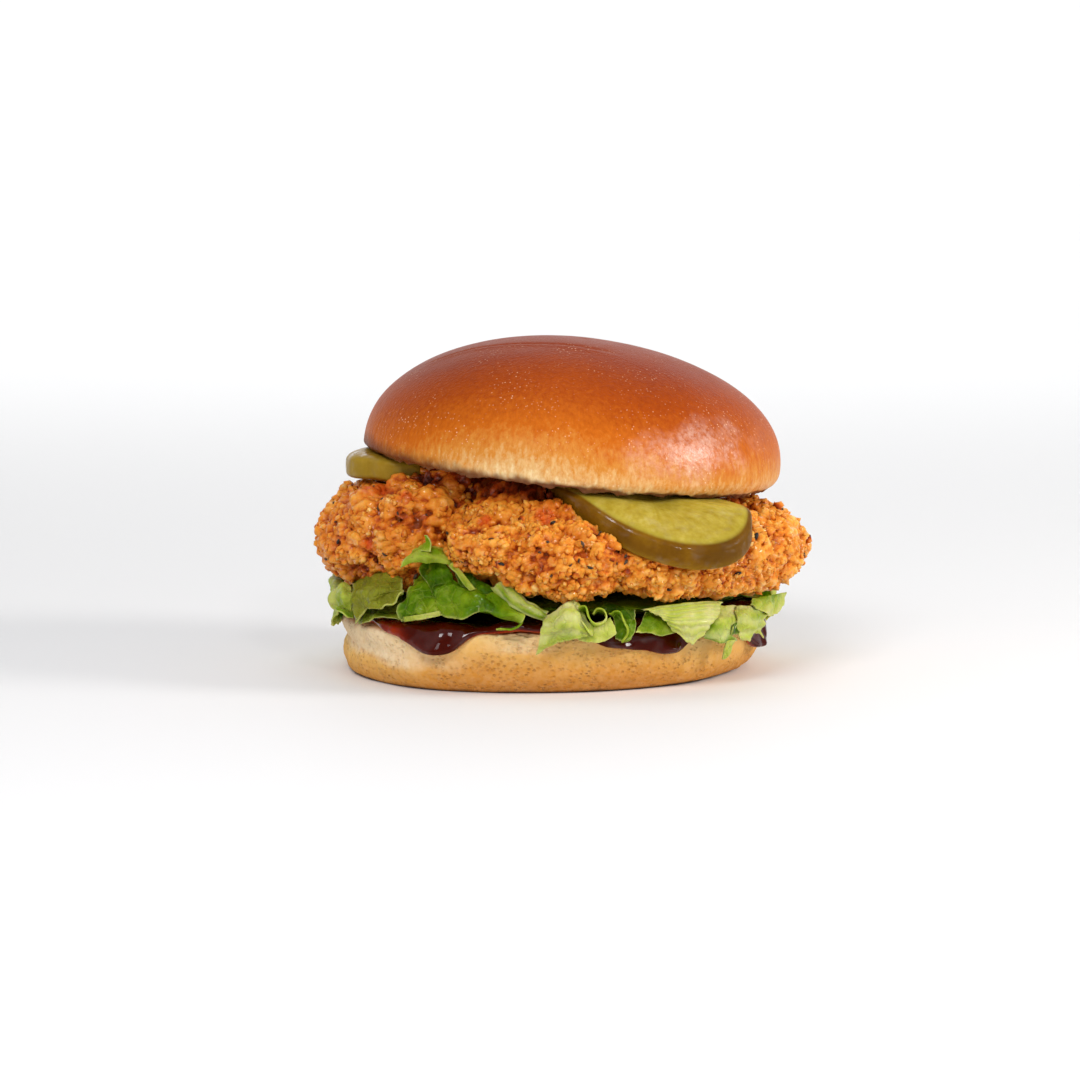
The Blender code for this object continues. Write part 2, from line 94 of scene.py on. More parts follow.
def pebbles(points, size, salt):
    """Height, 0 to 1, and tone, 0 to 1, of round pebbles, one to a cell: the tallest ball wins each point."""
    scaled = points / size
    base = np.floor(scaled)
    height = np.zeros(points.shape[:-1])
    tone = np.full(points.shape[:-1], 0.5)
    for step in product((-1, 0, 1), repeat=3):
        cell = base + step
        centre = cell + np.stack([hashed(cell, salt + k) for k in range(3)], axis=-1)
        radius = 0.55 + 0.4 * hashed(cell, salt + 3)
        away = np.linalg.norm(scaled - centre, axis=-1)
        ball = np.sqrt(np.maximum(radius**2 - away**2, 0))
        tone = np.where(ball > height, hashed(cell, salt + 4), tone)
        height = np.maximum(height, ball)
    return height, tone


def hump(value, half_width):
    """1 at zero, falling off on both sides as exp(-(value / half width)^2)."""
    return np.exp(-((value / half_width) ** 2))


def bell(theta, azimuth, half_width):
    """A hump round an azimuth; it and the half width are in degrees."""
    return hump((np.degrees(theta) - azimuth + 180) % 360 - 180, half_width)


def eased(value, low, high):
    """0 below low and 1 above high, with a smooth s-curve between."""
    s = np.clip((value - low) / (high - low), 0, 1)
    return s * s * (3 - 2 * s)


def band(value, rise, fall):
    """0, then 1, then 0: an s-curve up over the stretch called rise and one down over that called fall."""
    return eased(value, *rise) * (1 - eased(value, *fall))


def leftness(theta):
    """0 on the burger's right-hand side and 1 on its left-hand side: (1 - cos theta) / 2."""
    return 0.5 - 0.5 * np.cos(theta)


def from_right(right, left, theta):
    """A size that changes from its right-hand value to its left-hand one with leftness."""
    return right + (left - right) * leftness(theta)


def around(theta, radius, z):
    """Points at those azimuths, distances from the Z axis and heights."""
    return np.stack(np.broadcast_arrays(radius * np.cos(theta), radius * np.sin(theta), z), axis=-1)


def azimuths(columns, closer=0.0):
    """One row of azimuths: phi - closer * cos(phi), so that they crowd together at the front."""
    phi = np.linspace(-PI, PI, columns, endpoint=False)[None, :]
    return phi - closer * np.cos(phi)


def stations(*stretches):
    """Rows of t: evenly spaced over each stretch (start, end, count), joined into a column."""
    rows = [np.linspace(a, b, n, endpoint=False) for a, b, n in stretches]
    return np.concatenate([*rows, [stretches[-1][1]]])[:, None]


def outward(points):
    """Unit normals of a wrapped grid: the cross product of its steps along theta and along t."""
    along = np.roll(points, -1, axis=1) - np.roll(points, 1, axis=1)
    up = np.gradient(points, axis=0)
    normal = np.cross(along, up)
    return normal / np.maximum(np.linalg.norm(normal, axis=-1, keepdims=True), 1e-12)


def blend_weights(f):
    """The four weights of a smooth curve through evenly spaced points, at share f between the middle two."""
    return (
        -0.5 * f + f**2 - 0.5 * f**3,
        1 - 2.5 * f**2 + 1.5 * f**3,
        0.5 * f + 2 * f**2 - 1.5 * f**3,
        -0.5 * f**2 + 0.5 * f**3,
    )


def patch(control, u, v):
    """Points on a smooth surface through control points: u, 0 to 1, along their rows and v across them."""
    control = np.concatenate([2 * control[:1] - control[1:2], control, 2 * control[-1:] - control[-2:-1]])
    ends = 2 * control[:, :1] - control[:, 1:2], 2 * control[:, -1:] - control[:, -2:-1]
    control = np.concatenate([ends[0], control, ends[1]], axis=1)
    rows, columns = control.shape[0] - 3, control.shape[1] - 3
    across = np.clip(v, 0, 1) * rows
    along = np.clip(u, 0, 1) * columns
    i = np.minimum(across.astype(int), rows - 1)
    j = np.minimum(along.astype(int), columns - 1)
    total = 0
    for a, row_weight in enumerate(blend_weights(across - i)):
        for b, column_weight in enumerate(blend_weights(along - j)):
            total = total + (row_weight * column_weight)[..., None] * control[i + a, j + b]
    return total


# Meshes.


def mesh_piece(name, points, faces, facts, slot, material, replaced=()):
    """A smooth-shaded piece of those points and faces, riding on the body, the facts its point attributes."""
    mesh = bpy.data.meshes.new(name)
    mesh.from_pydata(points.tolist(), [], faces)
    for fact, values in facts.items():
        layer = mesh.attributes.new(fact, "FLOAT", "POINT")
        layer.data.foreach_set("value", np.ascontiguousarray(values, dtype=np.float32))
    mesh.shade_smooth()
    mesh.update()
    obj = bpy.data.objects.new(name, mesh)
    bpy.context.scene.collection.objects.link(obj)
    mesh.materials.append(material)
    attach(obj, "root")
    if replaced:
        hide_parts(*replaced)
    return obj


def closed_rows(values):
    """A grid's values as one list, its first and last rows each averaged to the one point they close to."""
    first, last = values[0].mean(axis=0), values[-1].mean(axis=0)
    return np.concatenate([first[None], values[1:-1].reshape(-1, *values.shape[2:]), last[None]])


def shell_faces(rows, columns):
    """The quads, lowest triangles and highest triangles of a wrapped grid closed to a point at each end."""
    index = 1 + np.arange((rows - 2) * columns).reshape(rows - 2, columns)
    beside = np.roll(index, -1, axis=1)
    quads = np.stack([index[:-1], beside[:-1], beside[1:], index[1:]], axis=-1).reshape(-1, 4)
    top = 1 + (rows - 2) * columns
    low = np.stack([np.zeros(columns, int), beside[0], index[0]], axis=-1)
    high = np.stack([np.full(columns, top), index[-1], beside[-1]], axis=-1)
    return quads, low, high


def shell_piece(name, grid, facts, **rest):
    """A closed shell from a grid whose columns wrap round; its first and last rows close to a point each."""
    faces = [face for part in shell_faces(*grid.shape[:2]) for face in part.tolist()]
    facts = {k: closed_rows(np.broadcast_to(v, grid.shape[:2])[..., None])[:, 0] for k, v in facts.items()}
    mesh_piece(name, closed_rows(grid), faces, facts, **rest)


def sheets_piece(name, sheets, thickness, **rest):
    """Several open sheets in one piece: each a grid of points with its facts, thickened by Solidify."""
    points, faces, facts, start = [], [], {}, 0
    for grid, own in sheets:
        rows, columns = grid.shape[:2]
        index = start + np.arange(rows * columns).reshape(rows, columns)
        quads = np.stack([index[:-1, :-1], index[:-1, 1:], index[1:, 1:], index[1:, :-1]], axis=-1)
        faces += quads.reshape(-1, 4).tolist()
        points.append(grid.reshape(-1, 3))
        for fact, values in own.items():
            facts.setdefault(fact, []).append(np.broadcast_to(values, (rows, columns)).ravel())
        start += rows * columns
    facts = {k: np.concatenate(v) for k, v in facts.items()}
    obj = mesh_piece(name, np.concatenate(points), faces, facts, **rest)
    solid = obj.modifiers.new("thickness", "SOLIDIFY")
    solid.thickness = thickness
    solid.offset = 0


def scattered_piece(name, shape, faces, places, frames, facts, **rest):
    """Copies of one small shape: its points times each frame, a 3 x 3 matrix, plus each place.

    A fact holds one value for each copy, or one for each point of each copy.
    """
    points = np.einsum("nij,kj->nki", frames, shape) + places[:, None]
    shift = np.arange(len(places))[:, None, None] * len(shape)
    every = (np.array(faces)[None] + shift).reshape(-1, len(faces[0]))
    facts = {k: np.repeat(v, len(shape)) if v.ndim == 1 else v.ravel() for k, v in facts.items()}
    mesh_piece(name, points.reshape(-1, 3), every.tolist(), facts, **rest)


# Materials.


class Finish:
    """A material built step by step: each method adds one node and returns the socket with its result."""

    def __init__(self, name, **fixed):
        self.material = bpy.data.materials.new(name)
        self.material.use_nodes = True
        self.tree = self.material.node_tree
        self.shader = self.tree.nodes["Principled BSDF"]
        self.set(self.shader, fixed)
        self.place = self.tree.nodes.new("ShaderNodeTexCoord").outputs["Object"]

    def set(self, node, values):
        """Fills sockets by name or number: a socket is linked and anything else is set as the value."""
        for key, value in values.items():
            socket = node.inputs[key.replace("_", " ") if isinstance(key, str) else key]
            if isinstance(value, bpy.types.NodeSocket):
                self.tree.links.new(value, socket)
            else:
                socket.default_value = value

    def paint(self, **values):
        """Sets or links sockets of the shader."""
        self.set(self.shader, values)

    def fact(self, name):
        """A point attribute of the piece."""
        node = self.tree.nodes.new("ShaderNodeAttribute")
        node.attribute_name = name
        return node.outputs["Fac"]

    def stretched(self, x, y, z):
        """The piece's own coordinates, scaled along each axis."""
        node = self.tree.nodes.new("ShaderNodeMapping")
        self.set(node, {"Vector": self.place, "Scale": (x, y, z)})
        return node.outputs["Vector"]

    def added(self, shake, depth):
        """The piece's own coordinates, moved by a colour of 0 to 1, that many metres at most on each axis."""
        node = self.tree.nodes.new("ShaderNodeVectorMath")
        node.operation = "MULTIPLY_ADD"
        self.set(node, {0: shake, 1: (depth, depth, depth), 2: self.place})
        return node.outputs[0]

    def noise(self, size, detail=3.0, roughness=0.55, place=None, output="Fac"):
        """Noise from 0 to 1 whose blobs are about that many metres across."""
        node = self.tree.nodes.new("ShaderNodeTexNoise")
        values = {"Scale": 0.5 / size, "Detail": detail, "Roughness": roughness}
        self.set(node, {"Vector": place or self.place, **values})
        return node.outputs[output]

    def cells(self, size, feature="F1", place=None):
        """Distances in cell noise whose cells are that many metres across."""
        node = self.tree.nodes.new("ShaderNodeTexVoronoi")
        node.feature = feature
        self.set(node, {"Vector": place or self.place, "Scale": 1 / size})
        return node.outputs["Distance"]

    def math(self, operation, a, b=0.0, c=0.0, clamp=False):
        """Arithmetic on one to three values."""
        node = self.tree.nodes.new("ShaderNodeMath")
        node.operation = operation
        node.use_clamp = clamp
        self.set(node, {0: a, 1: b, 2: c})
        return node.outputs[0]

    def plus(self, a, b, clamp=False):
        """The sum of two values."""
        return self.math("ADD", a, b, clamp=clamp)

    def times(self, a, b, clamp=False):
        """The product of two values."""
        return self.math("MULTIPLY", a, b, clamp=clamp)

    def swing(self, value, width):
        """The value's range 0 to 1, made that wide and centred on 0."""
        return self.math("MULTIPLY_ADD", value, width, -width / 2)

    def fit(self, value, low, high, to_low=0.0, to_high=1.0):
        """The value's range low to high, mapped to another range and clamped."""
        node = self.tree.nodes.new("ShaderNodeMapRange")
        node.clamp = True
        ranges = {"From_Min": low, "From_Max": high, "To_Min": to_low, "To_Max": to_high}
        self.set(node, {"Value": value, **ranges})
        return node.outputs["Result"]

    def ramp(self, value, *stops):
        """A colour ramp through stops of (position, colour)."""
        node = self.tree.nodes.new("ShaderNodeValToRGB")
        elements = node.color_ramp.elements
        while len(elements) < len(stops):
            elements.new(0.5)
        for element, (position, colour) in zip(elements, stops):
            element.position = position
            element.color = (*colour, 1)
        self.set(node, {"Fac": value})
        return node.outputs["Color"]

    def mix(self, share, a, b, how="MIX"):
        """Colour a changed towards colour b by that share."""
        node = self.tree.nodes.new("ShaderNodeMix")
        node.data_type = "RGBA"
        node.blend_type = how
        a, b = (c if isinstance(c, bpy.types.NodeSocket) else (*c, 1) for c in (a, b))
        self.set(node, {0: share, 6: a, 7: b})
        return node.outputs[2]

    def tinted(self, colour, fact, share, tint):
        """The colour changed towards a tint by that share of a fact."""
        return self.mix(self.times(self.fact(fact), share), colour, tint)

    def soak(self, weight, radius, depth):
        """Lets light soak in: how much of it, how far red, green and blue spread, and how deep in metres."""
        self.paint(Subsurface_Weight=weight, Subsurface_Radius=radius, Subsurface_Scale=depth)

    def bump(self, height, depth, strength=1.0):
        """A normal shaken by that height, which is so many metres deep from 0 to 1."""
        node = self.tree.nodes.new("ShaderNodeBump")
        self.set(node, {"Height": height, "Distance": depth, "Strength": strength})
        return node.outputs["Normal"]


# The bottom bun.

HEEL_RADIUS = 55.6 * MM
HEEL_HEIGHT = 14.6 * MM
HEEL_FRONT_RISE = 0.024
HEEL_FOOT_LEFT = 3.4 * MM
HEEL_FOOT_RIGHT = 9.6 * MM
HEEL_FOOT_TOP_LEFT = 8.0 * MM
HEEL_FOOT_TOP_RIGHT = 12.0 * MM
HEEL_LIP = 2.6 * MM
HEEL_CORNER = 3.4 * MM
HEEL_CORNER_AZIMUTH = -127
HEEL_CORNER_HALF_WIDTH = 26
HEEL_WAIST = 1.5 * MM
HEEL_WAIST_Z = 8.4 * MM
HEEL_WAIST_HALF = 2.4 * MM
HEEL_COLUMNS = 620
# Where t comes to the side, the lip and the cut face, and how much of t the side and the lip each take.
HEEL_SIDE_T = 0.15
HEEL_LIP_T = 0.8
HEEL_CUT_T = 0.9
HEEL_SIDE_SPAN = 0.65
HEEL_LIP_SPAN = 0.1
# The fold round the left: its height, how far it dips to the front, and over which degrees it does.
FOLD_HEIGHT = 8.6
FOLD_DIP = 2.6
FOLD_DIPS = (195, 232)
# Where the crumb is torn open, and where the lip's toasted edge fades in and out, all in degrees.
CRUMB_AZIMUTH = -98
CRUMB_HALF_WIDTH = 9
TOAST_STARTS = (140, 175)
TOAST_ENDS = (232, 242)

CRUMB_TAN = (
    (0.0, (0.53, 0.21, 0.035)),
    (0.16, (0.59, 0.235, 0.035)),
    (0.45, (0.63, 0.275, 0.045)),
    (0.8, (0.8, 0.45, 0.12)),
    (1.0, (0.86, 0.57, 0.21)),
)
CRUMB_CREAM = ((0.3, (0.78, 0.56, 0.31)), (0.7, (0.88, 0.71, 0.47)))
CRUMB_PORE = (0.4, 0.145, 0.03)
CRUMB_FLOUR = (0.88, 0.62, 0.33)
CRUMB_FOLD = (0.5, 0.17, 0.03)
CRUMB_TOAST = (0.4, 0.14, 0.035)
CRUMB_SINGE = (0.13, 0.035, 0.012)


def heel_outline(theta):
    """The bottom bun's radius: a circle with a fuller front-left corner and a slow uneven wave."""
    uneven = 0.4 * MM * np.sin(2 * theta + 0.8) + 0.4 * MM * np.sin(3 * theta - 0.5)
    return HEEL_RADIUS + HEEL_CORNER * bell(theta, HEEL_CORNER_AZIMUTH, HEEL_CORNER_HALF_WIDTH) + uneven


def heel_top(y):
    """The height of the bottom bun's cut face, which rises a little to the front."""
    return HEEL_HEIGHT - HEEL_FRONT_RISE * y


def heel_section(theta, t):
    """Radius and height on the bottom bun: with rising t a flat base, the side, a round lip and the cut face.

    The side bows out from the base like a quarter of an ellipse; on the left a shallow waist is pressed in.
    """
    outline = heel_outline(theta)
    foot = from_right(HEEL_FOOT_RIGHT, HEEL_FOOT_LEFT, theta)
    top = heel_top(outline * np.sin(theta))
    side = np.clip((t - HEEL_SIDE_T) / HEEL_SIDE_SPAN, 0, 1)
    z_side = side * (top - HEEL_LIP)
    low = np.clip(1 - z_side / from_right(HEEL_FOOT_TOP_RIGHT, HEEL_FOOT_TOP_LEFT, theta), 0, 1)
    waist = HEEL_WAIST * leftness(theta) ** 2 * hump(z_side - HEEL_WAIST_Z, HEEL_WAIST_HALF)
    radius = outline - foot * (1 - np.sqrt(1 - low**2)) - waist
    turn = np.clip((t - HEEL_LIP_T) / HEEL_LIP_SPAN, 0, 1) * PI / 2
    radius = radius - HEEL_LIP * (1 - np.cos(turn))
    z = z_side + HEEL_LIP * np.sin(turn)
    radius = radius * np.clip(t / HEEL_SIDE_T, 0, 1) * np.clip((1 - t) / HEEL_LIP_SPAN, 0, 1)
    return radius, np.where(t > HEEL_CUT_T, heel_top(radius * np.sin(theta)), z)


def fold_height(theta):
    """The height of the fold that runs round the left of the bottom bun, dipping towards the front."""
    return (FOLD_HEIGHT - FOLD_DIP * eased(np.degrees(theta) % 360, *FOLD_DIPS)) * MM


def make_bottom_bun():
    """The bottom bun's skin with its fold, torn crumb, uneven side and rough cut face."""
    theta = azimuths(HEEL_COLUMNS)
    below = (0, HEEL_SIDE_T, 8), (HEEL_SIDE_T, HEEL_LIP_T, 92)
    t = stations(*below, (HEEL_LIP_T, HEEL_CUT_T, 24), (HEEL_CUT_T, 1, 12))
    radius, z = heel_section(theta, t)
    grid = around(theta, radius, z)
    normal = outward(grid)
    side = band(t, (0.16, 0.24), (0.88, 0.93))
    fold = hump(z - fold_height(theta), 0.55 * MM) * leftness(theta) ** 2
    torn = bell(theta, CRUMB_AZIMUTH, CRUMB_HALF_WIDTH) * eased(z, 9.4 * MM, 11.5 * MM)
    holes, _ = pebbles(grid * [1, 1, 1.4], 2.2 * MM, 301)
    fine, _ = pebbles(grid, 1.0 * MM, 311)
    out = 0.55 * MM * ripples(grid, 12 * MM, 321) + 0.17 * MM * ripples(grid, 2.4 * MM, 331)
    out = out - 0.16 * MM * fold - torn * (1.1 * MM * holes + 0.5 * MM * fine - 0.4 * MM)
    grid = grid + normal * (out * side)[..., None]
    cut = eased(t, 0.86, 0.92)
    grid[..., 2] += cut * 0.25 * MM * ripples(grid, 3 * MM, 341)
    left = eased(leftness(theta), 0.6, 0.95)
    wavy = z + 1.2 * MM * waves(grid, 6 * MM, 361)
    pale = left * eased(wavy, fold_height(theta) - 2 * MM, fold_height(theta) + 1.5 * MM)
    facts = {
        "high": np.clip(z / (15 * MM), 0, 1),
        "pale": np.maximum(pale, 0.5 * torn),
        # Paler crumb on the left; painted light on the right and back.
        "lighter": left + 0.5 * eased(np.degrees(theta), -72, -45) + 0 * z,
        "fold": fold * (0.5 + 0.5 * waves(grid, 3 * MM, 351)),
        "toast": eased(z, 13.6 * MM, 14.8 * MM) * band(np.degrees(theta) % 360, TOAST_STARTS, TOAST_ENDS),
    }
    crumb = baked_crumb()
    shell_piece("bottom_bun", grid, facts, slot="bun_bottom", replaced=["bun_bottom"], material=crumb)


def baked_crumb():
    """Soft tan crust with open pores, paler towards the top on the left, with painted light on the right and
    back, browned at the foot.
    """
    f = Finish("baked_crumb", Roughness=0.75, Specular_IOR_Level=0.08)
    f.soak(0.12, (1.0, 0.5, 0.2), 0.003)
    high = f.fact("high")
    blotch = f.noise(7 * MM, 4)
    grain = f.noise(0.7 * MM, 3)
    level = f.plus(high, f.swing(blotch, 0.5))
    # Lighter on the pale left crumb, and painted light on the right and back.
    level = f.plus(level, f.times(f.fact("lighter"), 0.4))
    pale = f.fit(f.fact("pale"), 0.1, 0.9)
    colour = f.mix(pale, f.ramp(level, *CRUMB_TAN), f.ramp(grain, *CRUMB_CREAM))
    pore = f.cells(1.15 * MM, place=f.stretched(1, 1, 1.25))
    spot = f.fit(pore, 0.1, 0.46, 1, 0)
    chosen = f.fit(f.noise(2.5 * MM, 4), 0.36, 0.6)
    low_share = f.fit(high, 0.0, 0.75, 1, 0.35)
    share = f.times(f.times(spot, chosen), low_share)
    share = f.times(share, f.fit(f.fact("pale"), 0.0, 1.0, 0.7, 0.25))
    colour = f.mix(share, colour, CRUMB_PORE)
    colour = f.mix(f.fit(grain, 0.35, 0.75, 0.0, 0.22), colour, CRUMB_FLOUR)
    toasted = f.times(f.fact("fold"), f.fit(f.noise(2 * MM, 3), 0.45, 0.6), clamp=True)
    colour = f.mix(toasted, colour, CRUMB_FOLD)
    colour = f.tinted(colour, "toast", 0.8, CRUMB_TOAST)
    singe = f.plus(high, f.times(f.noise(4 * MM, 5), 0.1))
    colour = f.mix(f.fit(singe, 0.05, 0.11, 0.9, 0), colour, CRUMB_SINGE)
    height = f.math("SUBTRACT", f.times(grain, 0.5), f.times(spot, chosen))
    f.paint(Base_Color=colour, Normal=f.bump(height, 0.45 * MM, 0.9))
    return f.material


# The top bun.

CROWN_RADIUS = 54.6 * MM
CROWN_HEIGHT = 33.9 * MM
CROWN_CENTRE = (5.1 * MM, 0.0, 53.0 * MM)
CROWN_ROLL = 6.2
CROWN_PITCH = 1.4
CROWN_UNDERCUT_LEFT = 0.9 * MM
CROWN_UNDERCUT_RIGHT = 4.6 * MM
CROWN_EDGE_LEFT = 1.2 * MM
CROWN_EDGE_RIGHT = 4.2 * MM
CROWN_HOLLOW = 2.2 * MM
CROWN_WIDER_LEFT = 0.9 * MM
CROWN_COLUMNS = 620
# Where t comes to the crust's turn and to the dome, and how much of t each takes.
CROWN_TURN_T = 0.2
CROWN_DOME_T = 0.4
CROWN_TURN_SPAN = 0.2
CROWN_DOME_SPAN = 0.6
# Where along X the long crease fades in and out.
CREASE_ENDS = ((-44 * MM, -32 * MM), (-4 * MM, 14 * MM))
# Where the crust stays cream, in degrees.
CREAM_AZIMUTH = -99
CREAM_HALF_WIDTH = 40
# The height in mm of the singed edge above the rim: at the right, and what the left has more.
SINGE_RIGHT = 1.0
SINGE_LEFT = 4.6
# Where the glossiest patch shows, with more coat and a painted highlight, as image pixels and reach in mm,
# and its half width and half height.
GLOSS_SPOT = (690, 453, 54)
GLOSS_REACH = (23 * MM, 10.5 * MM)

CRUST_BROWNS = (
    (0.0, (0.86, 0.64, 0.33)),
    (0.1, (0.75, 0.44, 0.17)),
    (0.24, (0.65, 0.25, 0.04)),
    (0.42, (0.56, 0.13, 0.008)),
    (0.7, (0.38, 0.062, 0.003)),
    (1.0, (0.26, 0.034, 0.003)),
)
CUT_CRUMB = ((0.3, (0.5, 0.26, 0.09)), (0.7, (0.75, 0.5, 0.26)))
# The colour of painted glints: pinpricks of light on tiny blisters.
CRUST_PINPRICK = (0.95, 0.66, 0.42)
CRUST_SINGE = (0.12, 0.025, 0.007)
# The colour of the painted highlight on the glossiest patch.
CRUST_FILM = (0.95, 0.72, 0.6)


def crown_frame():
    """Rotation and place of the top bun: leaned down to the right and a little to the front."""
    roll = Matrix.Rotation(math.radians(CROWN_ROLL), 3, "Y")
    pitch = Matrix.Rotation(math.radians(CROWN_PITCH), 3, "X")
    return np.array(roll @ pitch), np.array(CROWN_CENTRE)


def crown_plane(x, y):
    """The height of the plane of the top bun's cut face above each point of the table."""
    turn, centre = crown_frame()
    normal = turn[:, 2]
    return centre[2] - (normal[0] * (x - centre[0]) + normal[1] * (y - centre[1])) / normal[2]


def crown_sizes(theta):
    """The dome's widest radius, how far the crust's turn rises, and how far it tucks in, at each azimuth."""
    uneven = 0.4 * MM * np.sin(3 * theta + 1.0) + 0.3 * MM * np.sin(5 * theta)
    rise = from_right(CROWN_UNDERCUT_RIGHT, CROWN_UNDERCUT_LEFT, theta)
    tuck = from_right(CROWN_EDGE_RIGHT, CROWN_EDGE_LEFT, theta)
    return CROWN_RADIUS + uneven + CROWN_WIDER_LEFT * leftness(theta) ** 2, rise, tuck


def crown_shape(theta, t):
    """The top bun in its own frame: with rising t the hollow cut face, the crust's turn, a near-ellipsoid."""
    widest, rise, tuck = crown_sizes(theta)
    face = np.clip(t / CROWN_TURN_T, 0, 1)
    turn = np.clip((t - CROWN_TURN_T) / CROWN_TURN_SPAN, 0, 1) * PI / 2
    dome = np.clip((t - CROWN_DOME_T) / CROWN_DOME_SPAN, 0, 1) * PI / 2
    under = face * (widest - tuck) + tuck * np.sin(turn)
    hollow = CROWN_HOLLOW * (1 - face**3)
    radius = np.where(t < CROWN_DOME_T, under, widest * np.cos(dome))
    low = hollow + rise * (1 - np.cos(turn))
    high = rise + (CROWN_HEIGHT - rise) * np.sin(dome) ** 0.97
    return around(theta, radius, np.where(t < CROWN_DOME_T, low, high))


def crown_underside(points):
    """How far points lie above the top bun's underside, along its own axis; -1 past 3 mm beyond its rim."""
    turn, centre = crown_frame()
    own = (points - centre) @ turn
    radius = np.hypot(own[..., 0], own[..., 1])
    widest, rise, tuck = crown_sizes(np.arctan2(own[..., 1], own[..., 0]))
    hollow = CROWN_HOLLOW * (1 - np.clip(radius / (widest - tuck), 0, 1) ** 3)
    share = np.clip((radius - widest + tuck) / tuck, 0, 1)
    low = hollow + rise * (1 - np.sqrt(1 - share**2))
    return np.where(radius < widest + 3 * MM, own[..., 2] - low, -1)


def make_top_bun():
    """The top bun: its shape with a serrated rim, fine wrinkles above it and a long crease near the top."""
    theta = azimuths(CROWN_COLUMNS)
    t = stations((0, 0.18, 14), (0.18, 0.3, 26), (0.3, 0.46, 34), (0.46, 1, 76))
    grid = crown_shape(theta, t)
    normal = outward(grid)
    rim = hump(t - 0.225, 0.05)
    level = grid[..., 2] / CROWN_HEIGHT
    ragged = 0.35 * MM * ripples(grid * [1, 1, 0.3], 3.2 * MM, 401, 4) + 0.3 * MM * waves(grid, 9 * MM, 411)
    torn = 0.75 * MM * ripples(grid * [1, 1, 0.2], 2.8 * MM, 405, 3)
    wrinkle = np.abs(waves(grid * [1, 1, 0.12], 1.7 * MM, 421)) * (1 - eased(level, 0.08, 0.42))
    out = ragged * rim - 0.16 * MM * wrinkle * eased(t, 0.24, 0.4)
    out = out + 0.35 * MM * ripples(grid, 26 * MM, 431, 2) * eased(t, 0.3, 0.5)
    crease = grid[..., 1] + 0.25 * grid[..., 0] + 16 * MM + 1.2 * MM * waves(grid * [1, 0, 0], 12 * MM, 441)
    reach = band(grid[..., 0], *CREASE_ENDS)
    valley = hump(crease, 1.1 * MM) * reach * eased(t, 0.5, 0.6)
    ridge = hump(crease + 2.2 * MM, 1.6 * MM) * reach * eased(t, 0.5, 0.6)
    out = out - 0.45 * MM * valley + 0.25 * MM * ridge
    grid = grid + normal * out[..., None]
    grid[..., 2] += torn * hump(t - 0.21, 0.04)
    singed = grid[..., 2] + 0.6 * MM * waves(grid, 1.3 * MM, 461) + 0.5 * MM * waves(grid, 5 * MM, 463)
    singe_top = (SINGE_RIGHT + SINGE_LEFT * leftness(theta) ** 2.5) * MM
    turn, centre = crown_frame()
    grid = grid @ turn.T + centre
    under = t < 0.3
    for pickle in (PICKLE_RIGHT, PICKLE_LEFT):
        inside, top = pickle_above(pickle, grid, 0.8 * MM)
        lifted = np.maximum(grid[..., 2], top + 0.3 * MM)
        grid[..., 2] = np.where(inside & under, lifted, grid[..., 2])
    # The glossiest patch: more coat there, and a painted highlight mixed into the crust's colour.
    spot = seen(*GLOSS_SPOT)
    gloss = np.hypot((grid[..., 0] - spot[0]) / GLOSS_REACH[0], (grid[..., 2] - spot[2]) / GLOSS_REACH[1])
    gloss = np.where(grid[..., 1] < 0, gloss + 0.25 * waves(grid, 6 * MM, 471), 9)
    browner = (0.12 + 0.25 * leftness(theta)) * (1 - bell(theta, CREAM_AZIMUTH, CREAM_HALF_WIDTH))
    browner = browner + 0.05 * waves(grid, 22 * MM, 451)
    facts = {
        "bake": np.clip(level + browner, 0, 1) * eased(t, 0.2, 0.3),
        "face": 1 - eased(t + 0 * theta, 0.14, 0.19),
        "edge": (1 - eased(singed, 0.3 * MM, singe_top)) * eased(t, 0.165, 0.2),
        "glaze": 0.08 - 0.065 * leftness(theta) + 0.82 * (1 - eased(gloss, 0.3, 1.0)),
    }
    shell_piece("top_bun", grid, facts, slot="bun_top", replaced=["bun_top"], material=glazed_crust())


